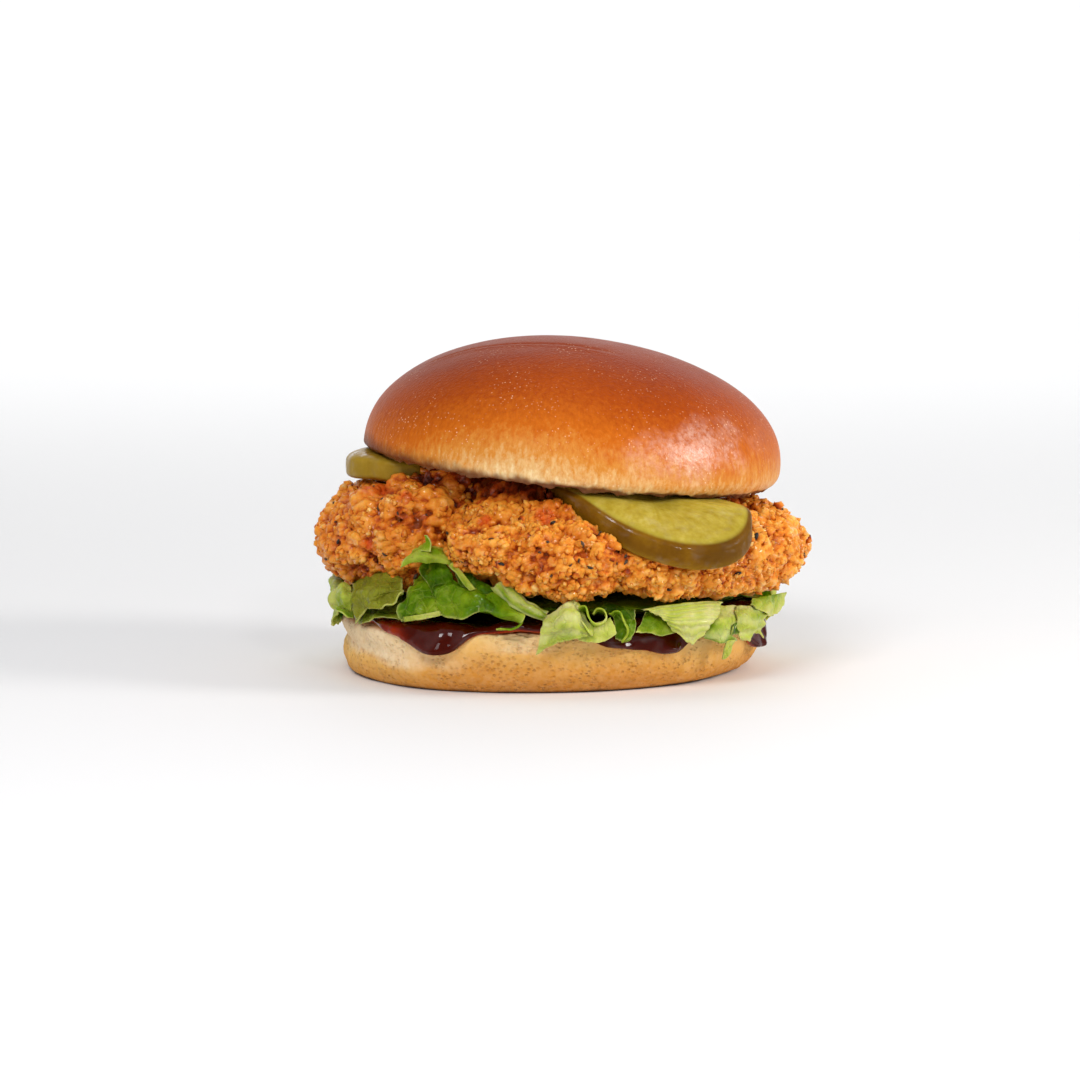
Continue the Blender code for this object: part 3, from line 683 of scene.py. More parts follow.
def glazed_crust():
    """Egg-washed crust: cream at the rim, golden, then red-brown on top, with painted pinprick glints, a
    painted highlight on its glossiest patch, and fine grain.
    """
    f = Finish("glazed_crust", Specular_IOR_Level=0.03, Coat_Roughness=0.27)
    f.soak(0.06, (1.0, 0.35, 0.1), 0.003)
    bake = f.fact("bake")
    blotch = f.noise(9 * MM, 4)
    grain = f.noise(0.6 * MM, 4, 0.65, f.stretched(1, 1, 0.5))
    level = f.plus(bake, f.swing(blotch, 0.2))
    level = f.plus(level, f.swing(grain, 0.5))
    colour = f.ramp(level, *CRUST_BROWNS)
    # Painted glints: pale pinpricks of light, in clusters.
    pinprick = f.fit(f.cells(1.1 * MM), 0.1, 0.22, 1, 0)
    pinprick = f.times(pinprick, f.fit(f.noise(6 * MM, 5), 0.46, 0.66))
    colour = f.mix(f.times(pinprick, 0.7), colour, CRUST_PINPRICK)
    colour = f.mix(f.fact("face"), colour, f.ramp(f.noise(1.2 * MM, 5), *CUT_CRUMB))
    colour = f.tinted(colour, "edge", 0.9, CRUST_SINGE)
    # A painted highlight: a pale pinkish-white film mixed into the colour over the glossiest patch.
    film = f.fit(f.noise(0.8 * MM, 5, 0.7), 0.4, 0.65, 0.04, 0.36)
    film = f.times(film, f.fit(f.fact("glaze"), 0.3, 0.9))
    colour = f.mix(film, colour, CRUST_FILM)
    height = f.plus(grain, f.times(f.noise(0.35 * MM, 2), 0.5))
    rough = f.math("MULTIPLY_ADD", f.noise(3 * MM, 3), 0.14, 0.27)
    rough = f.plus(rough, f.times(f.fact("face"), 0.4), clamp=True)
    glaze = f.times(f.fact("glaze"), f.fit(f.noise(2.5 * MM, 5, 0.7), 0.25, 0.7, 0.3, 1.0))
    f.paint(Base_Color=colour, Roughness=rough, Coat_Weight=glaze, Normal=f.bump(height, 0.3 * MM, 0.9))
    f.paint(Coat_Normal=f.bump(height, 0.09 * MM, 0.9))
    return f.material


# The sauce.

SAUCE_LAYER = 1.5 * MM
SAUCE_GAP = 0.4 * MM
SAUCE_EDGE = 0.5 * MM
SAUCE_COLUMNS = 640
# How much of the way out to the edge lies on the cut face, and the step in t that gives the slope.
SAUCE_FLAT = 0.35
SAUCE_STEP = 0.004
# The drips down the side: azimuth and half width in degrees, then drop and bulge in mm.
SAUCE_DRIPS = (
    (-119, 6, 4.9, 1.5),
    (-131, 6, 1.6, 0.2),
    (-72, 6.5, 3.9, 0.9),
    (-58, 6, 5.4, 1.1),
    (-20, 7, 6.6, 1.9),
    (38, 7, 5.0, 1.0),
    (96, 8, 4.0, 0.8),
    (151, 6, 5.6, 1.1),
)
# Where the sauce is smeared to a thin red film: azimuth and half width in degrees.
SAUCE_FILM = (-132, 7)

SAUCE_REDS = (
    (0.0, (0.055, 0.0035, 0.0006)),
    (0.45, (0.12, 0.007, 0.001)),
    (0.8, (0.22, 0.014, 0.001)),
    (1.0, (0.45, 0.05, 0.004)),
)


def make_sauce():
    """The sauce: both faces follow the bottom bun's skin, the upper stood off and rounded at its edge."""
    theta = azimuths(SAUCE_COLUMNS)
    t = stations((0, 0.3, 10), (0.3, 0.52, 24), (0.52, 0.85, 84), (0.85, 1, 12))
    drop = SAUCE_EDGE + sum(d * MM * (1 - (1 - bell(theta, a, w)) ** 2) for a, w, d, _ in SAUCE_DRIPS)
    drop = drop + 0.25 * MM * np.sin(23 * theta) * np.sin(7 * theta + 1)
    drop = np.maximum(drop, 0.1 * MM)
    body = 1.9 * sum(b * MM * bell(theta, a, w * 0.8) for a, w, _, b in SAUCE_DRIPS)
    outline = heel_outline(theta)
    top = heel_top(outline * np.sin(theta))
    on_lip = HEEL_LIP_T + HEEL_LIP_SPAN * np.arcsin(np.clip(1 - drop / HEEL_LIP, 0, 1)) / (PI / 2)
    on_side = HEEL_LIP_T - HEEL_SIDE_SPAN * (drop - HEEL_LIP) / (top - HEEL_LIP)
    edge_t = np.where(drop < HEEL_LIP, on_lip, on_side)
    out = 1 - np.abs(2 * t - 1)
    run = np.clip((out - SAUCE_FLAT) / (1 - SAUCE_FLAT), 0, 1)
    flat_t = 1 - HEEL_LIP_SPAN * out / SAUCE_FLAT
    heel_t = np.where(out < SAUCE_FLAT, flat_t, HEEL_CUT_T - (HEEL_CUT_T - edge_t) * run)
    rounded = np.sqrt(np.clip(1 - run**6, 0, 1))
    thickness = np.where(t > 0.5, (SAUCE_LAYER + body * run**2) * rounded, 0)
    radius, z = heel_section(theta, heel_t)
    radius_up, z_up = heel_section(theta, np.minimum(heel_t + SAUCE_STEP, 1))
    radius_down, z_down = heel_section(theta, heel_t - SAUCE_STEP)
    along = np.stack([radius_up - radius_down, z_up - z_down], axis=-1)
    along /= np.maximum(np.linalg.norm(along, axis=-1), 1e-9)[..., None]
    flow = ripples(around(theta, radius, z), 5.5 * MM, 501, 2)
    off = SAUCE_GAP + thickness * (1 + 0.6 * flow)
    flat = out < 0.02
    radius = np.where(flat, 0, radius + off * along[..., 1])
    grid = around(theta, radius, z - np.where(flat, -off, off * along[..., 0]))
    thin = eased(run + 0 * theta, 0.93, 1.0) * (t >= 0.5) + (t < 0.5)
    facts = {"thin": np.clip(thin, 0, 1), "film": bell(theta, *SAUCE_FILM) * eased(run, 0.4, 0.75)}
    shell_piece("sauce_layer", grid, facts, slot="sauce", replaced=["sauce"], material=dark_sauce())


def dark_sauce():
    """Glossy dark barbecue sauce: nearly black where it is thick, red-orange where it thins at its edges."""
    f = Finish("dark_sauce", Roughness=0.1, Specular_IOR_Level=0.05, Coat_Roughness=0.04)
    f.soak(0.15, (1.0, 0.12, 0.02), 0.003)
    thin = f.plus(f.fact("thin"), f.math("MULTIPLY_ADD", f.noise(3 * MM, 3), 0.5, -0.28), clamp=True)
    thin = f.math("MULTIPLY_ADD", f.fact("film"), 0.85, thin, clamp=True)
    wet = f.fit(f.noise(3 * MM, 2), 0.42, 0.6, 0.08, 0.9)
    f.paint(Base_Color=f.ramp(thin, *SAUCE_REDS), Coat_Weight=wet)
    f.paint(Normal=f.bump(f.noise(2.2 * MM, 2), 0.3 * MM, 0.5))
    return f.material


# The fillet.

FILLET_CENTRE = (2.0 * MM, -4.0 * MM)
# Azimuth in degrees, then the outline's distance, the shoulder's height and the underside's height in mm.
FILLET_OUTLINE = (
    (-180, 62.0, 48.0, 23.0),
    (-158, 60.5, 50.8, 22.6),
    (-141, 54.0, 51.8, 24.5),
    (-130, 44.0, 46.0, 29.5),
    (-120, 53.5, 42.5, 30.0),
    (-109, 57.5, 42.0, 28.0),
    (-90, 57.0, 43.6, 24.4),
    (-70, 57.5, 43.0, 24.2),
    (-52, 60.0, 42.0, 23.8),
    (-30, 61.5, 42.5, 22.4),
    (-4, 62.6, 43.5, 22.0),
    (26, 59.5, 44.0, 22.6),
    (55, 54.0, 46.0, 23.6),
    (80, 50.0, 47.5, 24.0),
    (108, 53.0, 49.0, 24.0),
    (136, 58.0, 49.0, 23.4),
)
FILLET_BELOW_CROWN = 1.6 * MM
FILLET_UNDERSIDE = 25.4 * MM
FILLET_COLUMNS = 680
# The two coarsest layers of crags: how far across, and how high.
CRAG_SIZES = ((16.0 * MM, 1.7 * MM), (8.0 * MM, 1.5 * MM))
# The loose knobs and the flecks of herb: how many, and the rows of the crust that they lie on.
KNOBS = 1700
KNOB_ROWS = slice(10, 134)
FLECKS = 110
FLECK_ROWS = slice(22, 128)
FLECK_LENGTH = 1.9
# Where dark flecks of herb and the redder patches show, as image pixels, and the size of each: a flake's as a
# share of the full length, a patch's in mm.
SEEN_FLECKS = (
    (378, 508, 0.9), (399, 513, 0.6), (338, 542, 0.9), (328, 550, 0.9), (327, 558, 1.0), (385, 554, 0.8),
    (416, 577, 1.0), (426, 514, 0.5), (336, 522, 0.4), (548, 543, 0.8), (540, 553, 0.7), (501, 565, 0.9),
    (480, 561, 0.5), (582, 545, 1.0), (579, 561, 0.7), (570, 565, 0.7), (590, 567, 0.9), (472, 501, 0.6),
    (657, 557, 1.4), (625, 556, 0.8), (595, 530, 0.9), (610, 559, 0.5), (669, 589, 0.8), (737, 574, 1.1),
    (756, 537, 1.2), (782, 510, 0.6),
)
SEEN_RED = ((375, 490, 6.0), (407, 497, 2.4), (545, 516, 4.4), (484, 520, 2.6), (366, 545, 2.4))

FRIED_GOLDS = (
    (0.08, (0.09, 0.008, 0.001)),
    (0.24, (0.38, 0.05, 0.003)),
    (0.42, (0.7, 0.2, 0.013)),
    (0.64, (0.85, 0.34, 0.038)),
    (0.94, (0.97, 0.62, 0.2)),
)
FRIED_PATCH = (0.6, 0.13, 0.008)
FRIED_RED = (0.6, 0.06, 0.003)
HERB_DARKS = ((0.0, (0.012, 0.007, 0.004)), (1.0, (0.07, 0.035, 0.012)))


def camera_place():
    """The camera's place, and its right, up and forward directions."""
    up = np.array([0, math.sin(CAMERA_TILT), math.cos(CAMERA_TILT)])
    forward = np.array([0, math.cos(CAMERA_TILT), -math.sin(CAMERA_TILT)])
    aim = np.array([(IMAGE_SIDE / 2 - AIM_COLUMN) / FOCAL_PIXELS, 0, AIM_HEIGHT])
    lowered = (IMAGE_SIDE / 2 - AIM_ROW) / FOCAL_PIXELS
    return aim - CAMERA_AWAY * forward - lowered * up, np.array([1.0, 0, 0]), up, forward


def seen(column, row, reach):
    """The point that far, in mm, from the Z axis, on the near side, that the camera sees at that pixel."""
    place, right, up, forward = camera_place()
    sideways = (column - IMAGE_SIDE / 2) / FOCAL_PIXELS
    upwards = (IMAGE_SIDE / 2 - row) / FOCAL_PIXELS
    ray = forward + sideways * right + upwards * up
    a = ray[0] ** 2 + ray[1] ** 2
    b = place[0] * ray[0] + place[1] * ray[1]
    c = place[0] ** 2 + place[1] ** 2 - (reach * MM) ** 2
    far = (-b - math.sqrt(max(b * b - a * c, 0))) / a
    return place + far * ray


def pixels_of(points):
    """The column and row at which the camera sees each point."""
    place, right, up, forward = camera_place()
    away = points - place
    depth = away @ forward
    return (
        IMAGE_SIDE / 2 + FOCAL_PIXELS * (away @ right) / depth,
        IMAGE_SIDE / 2 - FOCAL_PIXELS * (away @ up) / depth,
    )


def table_curve(theta, column):
    """A column of the fillet's outline at each azimuth, on a smooth closed curve through its rows."""
    table = np.array(FILLET_OUTLINE, float)
    angles = np.concatenate([table[-2:, 0] - 360, table[:, 0], table[:2, 0] + 360])
    values = np.concatenate([table[-2:, column], table[:, column], table[:2, column]])
    at = np.degrees((theta + PI) % (2 * PI) - PI)
    i = np.clip(np.searchsorted(angles, at, side="right") - 1, 1, len(angles) - 3)
    span = angles[i + 1] - angles[i]
    t = (at - angles[i]) / span
    slope = (values[i + 1] - values[i - 1]) / (angles[i + 1] - angles[i - 1]) * span
    slope_next = (values[i + 2] - values[i]) / (angles[i + 2] - angles[i]) * span
    curve = (2 * t**3 - 3 * t**2 + 1) * values[i] + (t**3 - 2 * t**2 + t) * slope
    curve += (3 * t**2 - 2 * t**3) * values[i + 1] + (t**3 - t**2) * slope_next
    return curve * MM


def fillet_shape(theta, t):
    """The fillet's smooth form: each section a rounded box, its top rising inside to just under the bun."""
    phi = (t - 0.5) * PI
    reach = np.abs(np.cos(phi)) ** 0.27
    lift = np.abs(np.sin(phi)) ** 0.95
    outline = table_curve(theta, 1)
    shoulder = table_curve(theta, 2)
    under = table_curve(theta, 3)
    x = FILLET_CENTRE[0] + outline * reach * np.cos(theta)
    y = FILLET_CENTRE[1] + outline * reach * np.sin(theta)
    rim = eased((reach - 0.6) / 0.28, 0, 1)
    middle = (shoulder + under) / 2
    top = (1 - rim) * (crown_plane(x, y) - FILLET_BELOW_CROWN) + rim * shoulder
    low = (1 - rim) * FILLET_UNDERSIDE + rim * under
    return np.stack([x, y, middle + np.where(phi > 0, top - middle, low - middle) * lift], axis=-1)


def held_down(points, raised):
    """The same points, lowered where they come near the top bun's underside or a pickle slice.

    Near the bun's edge the gap widens unevenly, so that it shows as a dark line. The less a point is raised
    from the crust, the lower it is held, so the crags stay.
    """
    points = points.copy()
    radius = np.hypot(points[..., 0], points[..., 1])
    gap = (2.1 + 0.9 * waves(points, 6 * MM, 661)) * MM * eased(radius, 33 * MM, 46 * MM)
    gap = gap + 1.3 * MM * (1 - np.clip(raised / 0.8, 0, 1))
    over = crown_underside(points) + 0.5 * MM + gap
    points[..., 2] -= np.where(over > 0, over, 0)
    for pickle in (PICKLE_RIGHT, PICKLE_LEFT):
        inside, top = pickle_above(pickle, points, 0.6 * MM)
        limit = top - PICKLE_THICKNESS - 0.3 * MM
        points[..., 2] = np.where(inside, np.minimum(points[..., 2], limit), points[..., 2])
    return points


def pushed(grid, size, height, salt, shift=0.0):
    """The grid pushed out along its normals by pebbles of that size and height; their height and tone."""
    high, tone = pebbles(grid + shift, size, salt)
    return grid + outward(grid) * (height * (high - 0.5))[..., None], high, tone


def crust_grid():
    """The fried crust: the fillet's form pushed out by pebbles of five sizes, each along the last's normals.

    Returned with how far the pebbles stand out, less painted shade under the top bun's front and a redder
    left, which the colours follow, and a tone for each small pebble.
    """
    theta = azimuths(FILLET_COLUMNS, 0.42)
    grid = fillet_shape(theta, stations((0, 0.2, 8), (0.2, 0.8, 98), (0.8, 0.92, 32), (0.92, 1, 8)))
    warp = np.stack([waves(grid, 9 * MM, 601 + k) for k in range(3)], axis=-1)
    (large, large_high), (middle, middle_high) = CRAG_SIZES
    crags, _ = pebbles(grid, large, 0)
    masses, _ = pebbles(grid, middle, 11)
    out = large_high * (1.6 * crags - 0.5) + middle_high * (1.6 * masses - 0.5)
    grid = grid + outward(grid) * out[..., None]
    grid, lumps, tone = pushed(grid, 5.2 * MM, 2.5 * MM, 611, 1.5 * MM * warp)
    grid, knobs, own = pushed(grid, 2.7 * MM, 1.8 * MM, 621, 0.7 * MM * warp)
    grid, grains, _ = pushed(grid, 1.35 * MM, 0.8 * MM, 631)
    raised = 0.16 * masses + 0.26 * lumps + 0.34 * knobs + 0.24 * grains
    redder = 0.09 * eased(-grid[..., 0], 5 * MM, 20 * MM)
    # Painted shade: the crust's colour darkened where it lies under the top bun at the front, less so at the
    # left.
    sheltered = eased(crown_underside(grid) / MM, -9, -2) * eased(-grid[..., 1], 0, 30 * MM)
    sheltered = sheltered * (1 - 0.6 * eased(-grid[..., 0], 20 * MM, 34 * MM))
    return held_down(grid, raised), raised - 0.45 * sheltered - redder, 0.4 * tone + 0.6 * own


def near_seen(grid, spots):
    """For each seen spot (column, row, size), the index of the nearest grid point that faces the front."""
    normal = outward(grid).reshape(-1, 3)
    points = grid.reshape(-1, 3)
    column, row = pixels_of(points)
    facing = normal[:, 1] < -0.15
    found = []
    for x, y, _ in spots:
        away = np.where(facing, np.hypot(column - x, row - y), 1e9)
        found.append(int(np.argmin(away)))
    return np.array(found)


def make_fillet():
    """The fillet's crust, with redder patches where the seasoning gathered, and painted shade under the top
    bun.
    """
    grid, raised, tone = crust_grid()
    points = grid.reshape(-1, 3)
    red = 0.8 * eased(waves(grid, 13 * MM, 641), 0.45, 0.75)
    for index, (_, _, size) in zip(near_seen(grid, SEEN_RED), SEEN_RED):
        away = np.linalg.norm(grid - points[index], axis=-1)
        red = np.maximum(red, 1 - eased(away, 0.35 * size * MM, size * MM))
    facts = {"raised": raised, "tone": tone, "red": red}
    crust = fried_crust("fried_crust")
    shell_piece("fried_fillet", grid, facts, slot="chicken", replaced=["chicken"], material=crust)
    return grid, raised, red


def fried_crust(name):
    """Fried crust: deep red-orange in its crevices, golden on its knobs, pale at its tips, with glints."""
    f = Finish(name, Roughness=0.5, Specular_IOR_Level=0.12, Coat_Roughness=0.08)
    f.soak(0.22, (1.0, 0.3, 0.06), 0.0022)
    fine = f.noise(0.8 * MM, 4, 0.65)
    # On the fillet, raised also carries painted shade under the top bun, towards the darkest stops.
    level = f.plus(f.fact("raised"), f.swing(fine, 0.5))
    level = f.plus(level, f.swing(f.fact("tone"), 0.24))
    colour = f.ramp(level, *FRIED_GOLDS)
    patchy = f.fit(f.noise(12 * MM, 3), 0.4, 0.75, 0.0, 0.35)
    colour = f.mix(patchy, colour, FRIED_PATCH)
    colour = f.tinted(colour, "red", 0.75, FRIED_RED)
    glint = f.fit(f.noise(0.8 * MM, 2), 0.5, 0.62, 0.05, 1.0)
    height = f.plus(fine, f.times(f.cells(0.5 * MM), -0.5))
    f.paint(Base_Color=colour, Coat_Weight=glint, Normal=f.bump(height, 0.3 * MM, 0.7))
    return f.material


def knob_shape():
    """A small lump: rings of a ball, 7 columns by 4 rows, squashed and knocked out of round."""
    theta = azimuths(7)
    phi = np.linspace(-PI / 2, PI / 2, 5)[:, None]
    uneven = 1 + 0.22 * np.sin(2 * theta + 3 * phi) + 0.16 * np.cos(3 * theta - phi)
    grid = around(theta, np.cos(phi) * uneven, np.sin(phi) * (0.8 + 0.1 * np.cos(theta)))
    points = np.concatenate([grid[0, :1], grid[1:-1].reshape(-1, 3), grid[-1, :1]])
    quads, low, high = shell_faces(*grid.shape[:2])
    return points, np.concatenate([quads[:, :3], quads[:, [0, 2, 3]], low, high]).tolist()


def random_turns(random, count):
    """Random rotations: the Q of random square matrices."""
    turns, _ = np.linalg.qr(random.normal(size=(count, 3, 3)))
    turns[:, :, 0] *= np.sign(np.linalg.det(turns))[:, None]
    return turns


def clear_of_others(points, margin):
    """True for points that stand at least that far below the top bun and the pickle slices."""
    clear = crown_underside(points) < -margin
    for pickle in (PICKLE_RIGHT, PICKLE_LEFT):
        inside, top = pickle_above(pickle, points, margin)
        z = points[..., 2]
        clear &= ~(inside & (z > top - PICKLE_THICKNESS - margin) & (z < top + margin))
    return clear


def make_knobs(grid, raised, red):
    """Loose knobs of crust, sunk a quarter of their size into it, crowded where it is already raised."""
    random = np.random.default_rng(SEED)
    normal = outward(grid)
    points, normals = grid[KNOB_ROWS].reshape(-1, 3), normal[KNOB_ROWS].reshape(-1, 3)
    weight = (0.15 + raised[KNOB_ROWS].ravel()) ** 2 * (0.3 + eased(waves(points, 7 * MM, 651), -0.4, 0.5))
    chosen = random.choice(len(points), KNOBS, replace=False, p=weight / weight.sum())
    size = MM * (0.5 + 0.8 * random.random(KNOBS) ** 1.5)
    places = points[chosen] - normals[chosen] * (size * 0.25)[:, None]
    clear = clear_of_others(places, 1.4 * MM)
    chosen, size, places = chosen[clear], size[clear], places[clear]
    count = len(places)
    frames = random_turns(random, count) * random.uniform(0.7, 1.3, (count, 1, 3)) * size[:, None, None]
    shape, faces = knob_shape()
    above = np.einsum("nij,kj,ni->nk", frames, shape, normals[chosen]) / size[:, None]
    facts = {
        "raised": 0.3 + 0.34 * above + 0.12 * random.random((count, 1)),
        "tone": random.random(count),
        "red": red[KNOB_ROWS].ravel()[chosen],
    }
    crust = fried_crust("crust_knobs")
    scattered_piece("crust_knobs", shape, faces, places, frames, facts, slot="chicken", material=crust)


def fleck_shape():
    """A curled flake: a strip 1 long and 0.4 wide of three quads, bent, with a thin underside."""
    along = np.linspace(-0.5, 0.5, 4)
    width = 0.22 * np.array([0.5, 1, 0.9, 0.3])
    bend = 0.16 * (1 - (2 * along) ** 2)
    upper = np.concatenate([np.stack([along, s * width, bend + 0.05], axis=1) for s in (-1, 1)])
    lower = upper - [0, 0, 0.1]
    points = np.concatenate([upper, lower])
    faces = []
    for k in range(3):
        faces += [[k, k + 1, k + 5, k + 4], [8 + k, 12 + k, 13 + k, 9 + k]]
        faces += [[k, 8 + k, 9 + k, k + 1], [k + 4, k + 5, k + 13, k + 12]]
    faces += [[0, 4, 12, 8], [3, 11, 15, 7]]
    return points, faces


def make_flecks(grid):
    """Flecks of herb and pepper on the crust: those that the photograph shows, and seeded ones all round."""
    random = np.random.default_rng(SEED + 1)
    points, normals = grid.reshape(-1, 3), outward(grid).reshape(-1, 3)
    shown = near_seen(grid, SEEN_FLECKS)
    allowed = np.arange(len(points)).reshape(grid.shape[:2])[FLECK_ROWS].ravel()
    others = random.choice(allowed, FLECKS, replace=False)
    others = others[~((normals[others, 1] < -0.1) & (random.random(FLECKS) < 0.75))]
    chosen = np.concatenate([shown, others])
    sizes = [size for _, _, size in SEEN_FLECKS]
    length = np.concatenate([sizes, 0.3 + 0.7 * random.random(len(others))]) * FLECK_LENGTH * MM
    clear = clear_of_others(points[chosen], 0.8 * MM)
    chosen, length = chosen[clear], length[clear]
    up = normals[chosen]
    side = np.cross(up, random.normal(size=up.shape))
    side /= np.linalg.norm(side, axis=1, keepdims=True)
    frames = np.stack([side, np.cross(up, side), up], axis=-1) * length[:, None, None]
    places = points[chosen] + up * 0.1 * MM
    shape, faces = fleck_shape()
    facts = {"tone": random.random(len(chosen))}
    herb = dried_herb()
    scattered_piece("herb_flecks", shape, faces, places, frames, facts, slot="chicken", material=herb)


def dried_herb():
    """Nearly black dried herb and pepper."""
    f = Finish("dried_herb", Roughness=0.6)
    f.paint(Base_Color=f.ramp(f.fact("tone"), *HERB_DARKS))
    f.paint(Normal=f.bump(f.noise(0.3 * MM, 2), 0.1 * MM, 0.6))
    return f.material


# The pickle slices.

PICKLE_THICKNESS = 6.9 * MM
PICKLE_EDGE_RIGHT = 0.1
PICKLE_EDGE_LEFT = 0.26
PICKLE_BEND = 2.5 * MM
PICKLE_COLUMNS = 340
# Each slice: its centre, half length, half width and turn in degrees, then a point on its fold line, the
# azimuth in degrees towards which it folds down, and how steeply.
PICKLE_RIGHT = ((24.5 * MM, -42.0 * MM), 26.5 * MM, 17.5 * MM, -18, (37.0 * MM, -47.0 * MM), -83, 0.74)
PICKLE_LEFT = ((-37.5 * MM, -8.0 * MM), 16.4 * MM, 17.0 * MM, 0, (-47.0 * MM, -8.0 * MM), 180, 0.22)
CLEARANCE = 0.35 * MM
# Dark marks on the right slice's rind: where they show, as image pixels, their reach and size in mm.
RIND_SPOTS = (
    (630, 531, 58, 0.9),
    (660, 542, 60, 1.0),
    (612, 520, 57, 0.7),
    (700, 560, 62, 1.1),
    (711, 558, 62, 0.9),
    (684, 548, 61, 0.6),
)

FLESH_GREENS = ((0.3, (0.32, 0.22, 0.01)), (0.55, (0.44, 0.33, 0.04)), (0.8, (0.57, 0.46, 0.1)))
FLESH_RIM = (0.42, 0.36, 0.045)
FLESH_SEED = (0.6, 0.48, 0.12)
RIND_OLIVES = ((0.3, (0.09, 0.035, 0.001)), (0.55, (0.17, 0.07, 0.002)), (0.75, (0.27, 0.13, 0.006)))
# What tints the rind, by how much, and to which colour: its underside, its right-hand end and its marks.
RIND_TINTS = (
    ("under", 0.55, (0.32, 0.19, 0.012)),
    ("end", 0.6, (0.13, 0.06, 0.008)),
    ("spots", 0.65, (0.05, 0.028, 0.01)),
)
# Painted shade that darkens the left slice, which lies in the top bun's shadow.
SLICE_SHADE = (0.7, 0.5, 0.3)


def pickle_top(slice_, x, y):
    """The height of a slice's upper face: just under the top bun's cut face, bent down past its fold line."""
    fold, fold_azimuth, droop = slice_[4:]
    towards = math.radians(fold_azimuth)
    past = (x - fold[0]) * math.cos(towards) + (y - fold[1]) * math.sin(towards)
    bend = (past + np.sqrt(past**2 + PICKLE_BEND**2)) / 2
    return crown_plane(x, y) - CLEARANCE - droop * bend


def pickle_above(slice_, points, margin):
    """Whether each point is inside the slice's oval grown by the margin, and the height of its top there."""
    centre, half_length, half_width, turn = slice_[:4]
    turn = math.radians(turn)
    dx, dy = points[..., 0] - centre[0], points[..., 1] - centre[1]
    along = dx * math.cos(turn) + dy * math.sin(turn)
    across = dy * math.cos(turn) - dx * math.sin(turn)
    inside = (along / (half_length + margin)) ** 2 + (across / (half_width + margin)) ** 2 < 1
    return inside, pickle_top(slice_, points[..., 0], points[..., 1])


def make_pickle(name, node, slice_, edge):
    """A pickle slice: a rounded oval slab on the bent face, with a few warts and dents in its rind."""
    centre, half_length, half_width, turn = slice_[:4]
    theta = azimuths(PICKLE_COLUMNS)
    t = stations((0, 0.1, 12), (0.1, 0.9, 76), (0.9, 1, 30))
    phi = (t - 0.5) * PI
    reach = np.abs(np.cos(phi)) ** edge
    lift = np.sign(phi) * np.abs(np.sin(phi)) ** 0.4
    along = half_length * reach * np.cos(theta)
    across = half_width * reach * np.sin(theta)
    turn = math.radians(turn)
    x = centre[0] + along * math.cos(turn) - across * math.sin(turn)
    y = centre[1] + along * math.sin(turn) + across * math.cos(turn)
    top = pickle_top(slice_, x, y)
    grid = np.stack([x, y, top - PICKLE_THICKNESS * (0.5 - 0.5 * lift)], axis=-1)
    rind = 1 - eased(np.abs(lift), 0.86, 0.97)
    warts, _ = pebbles(grid, 6.5 * MM, 701)
    seeds = band(reach, (0.35, 0.55), (0.7, 0.8)) * np.sin(theta * 15) ** 2
    out = rind * (0.22 * MM * (warts - 0.6) + 0.1 * MM * ripples(grid, 4 * MM, 711))
    out = out - 0.1 * MM * seeds * (t > 0.5)
    out = np.minimum(out, 0.12 * MM)
    grid = grid + outward(grid) * out[..., None]
    if name == "pickle_slice_left":
        rind = 0.55 * rind * (1 - eased(lift, -0.85, -0.5))
    marks = [np.linalg.norm(grid - seen(*spot), axis=-1) / (size * MM) for *spot, size in RIND_SPOTS]
    facts = {
        "spots": 1 - eased(np.min(marks, axis=0) + 0.35 * waves(grid, 0.9 * MM, 731), 0.5, 1.1),
        "rind": rind + 0 * theta,
        "under": eased(-lift, 0.1, 0.95) + 0 * theta,
        "reach": reach + 0 * theta,
        "seeds": seeds,
        "end": eased(grid[..., 0], 25 * MM, 55 * MM),
        "grain": 0.5 + 0.5 * waves(around(theta, 34 + 0 * reach, 16 * reach), 1.0, 721),
    }
    flesh = brined_pickle(name + "_flesh")
    shell_piece(name, grid, facts, slot="pickle", replaced=[node], material=flesh)


def brined_pickle(name):
    """Brined cucumber: yellow-green flesh with a fine grain towards its rim, and an olive-brown wet rind."""
    f = Finish(name, Roughness=0.3, Specular_IOR_Level=0.05, Coat_Roughness=0.08)
    f.soak(0.3, (1.0, 0.75, 0.1), 0.004)
    grain = f.times(f.noise(1.6 * MM, 5, 0.65), 0.86)
    grain = f.math("MULTIPLY_ADD", f.fact("grain"), 0.14, grain)
    flesh = f.ramp(grain, *FLESH_GREENS)
    flesh = f.mix(f.fit(f.fact("reach"), 0.86, 0.97, 0, 0.5), flesh, FLESH_RIM)
    flesh = f.tinted(flesh, "seeds", 0.15, FLESH_SEED)
    skin = f.ramp(f.noise(6 * MM, 5, 0.6), *RIND_OLIVES)
    for tint in RIND_TINTS:
        skin = f.tinted(skin, *tint)
    colour = f.mix(f.fact("rind"), flesh, skin)
    # Painted shade on the left slice, which lies in the top bun's shadow.
    if name.startswith("pickle_slice_left"):
        colour = f.mix(0.85, colour, SLICE_SHADE, "MULTIPLY")
    wet = f.fit(f.noise(1.8 * MM, 3), 0.52, 0.64, 0.02, 0.7)
    f.paint(Base_Color=colour, Coat_Weight=wet, Normal=f.bump(f.noise(1.0 * MM, 4), 0.14 * MM, 0.6))
    return f.material


# The lettuce.

LEAF_THICKNESS = 0.4 * MM
FLUTTER = 0.55 * MM
BED_RADIUS = 51.0 * MM
BED_WAVE = 2.2 * MM
BED_LOW = 2.6 * MM
BED_HIGH = 7.6 * MM
BED_COLUMNS = 260

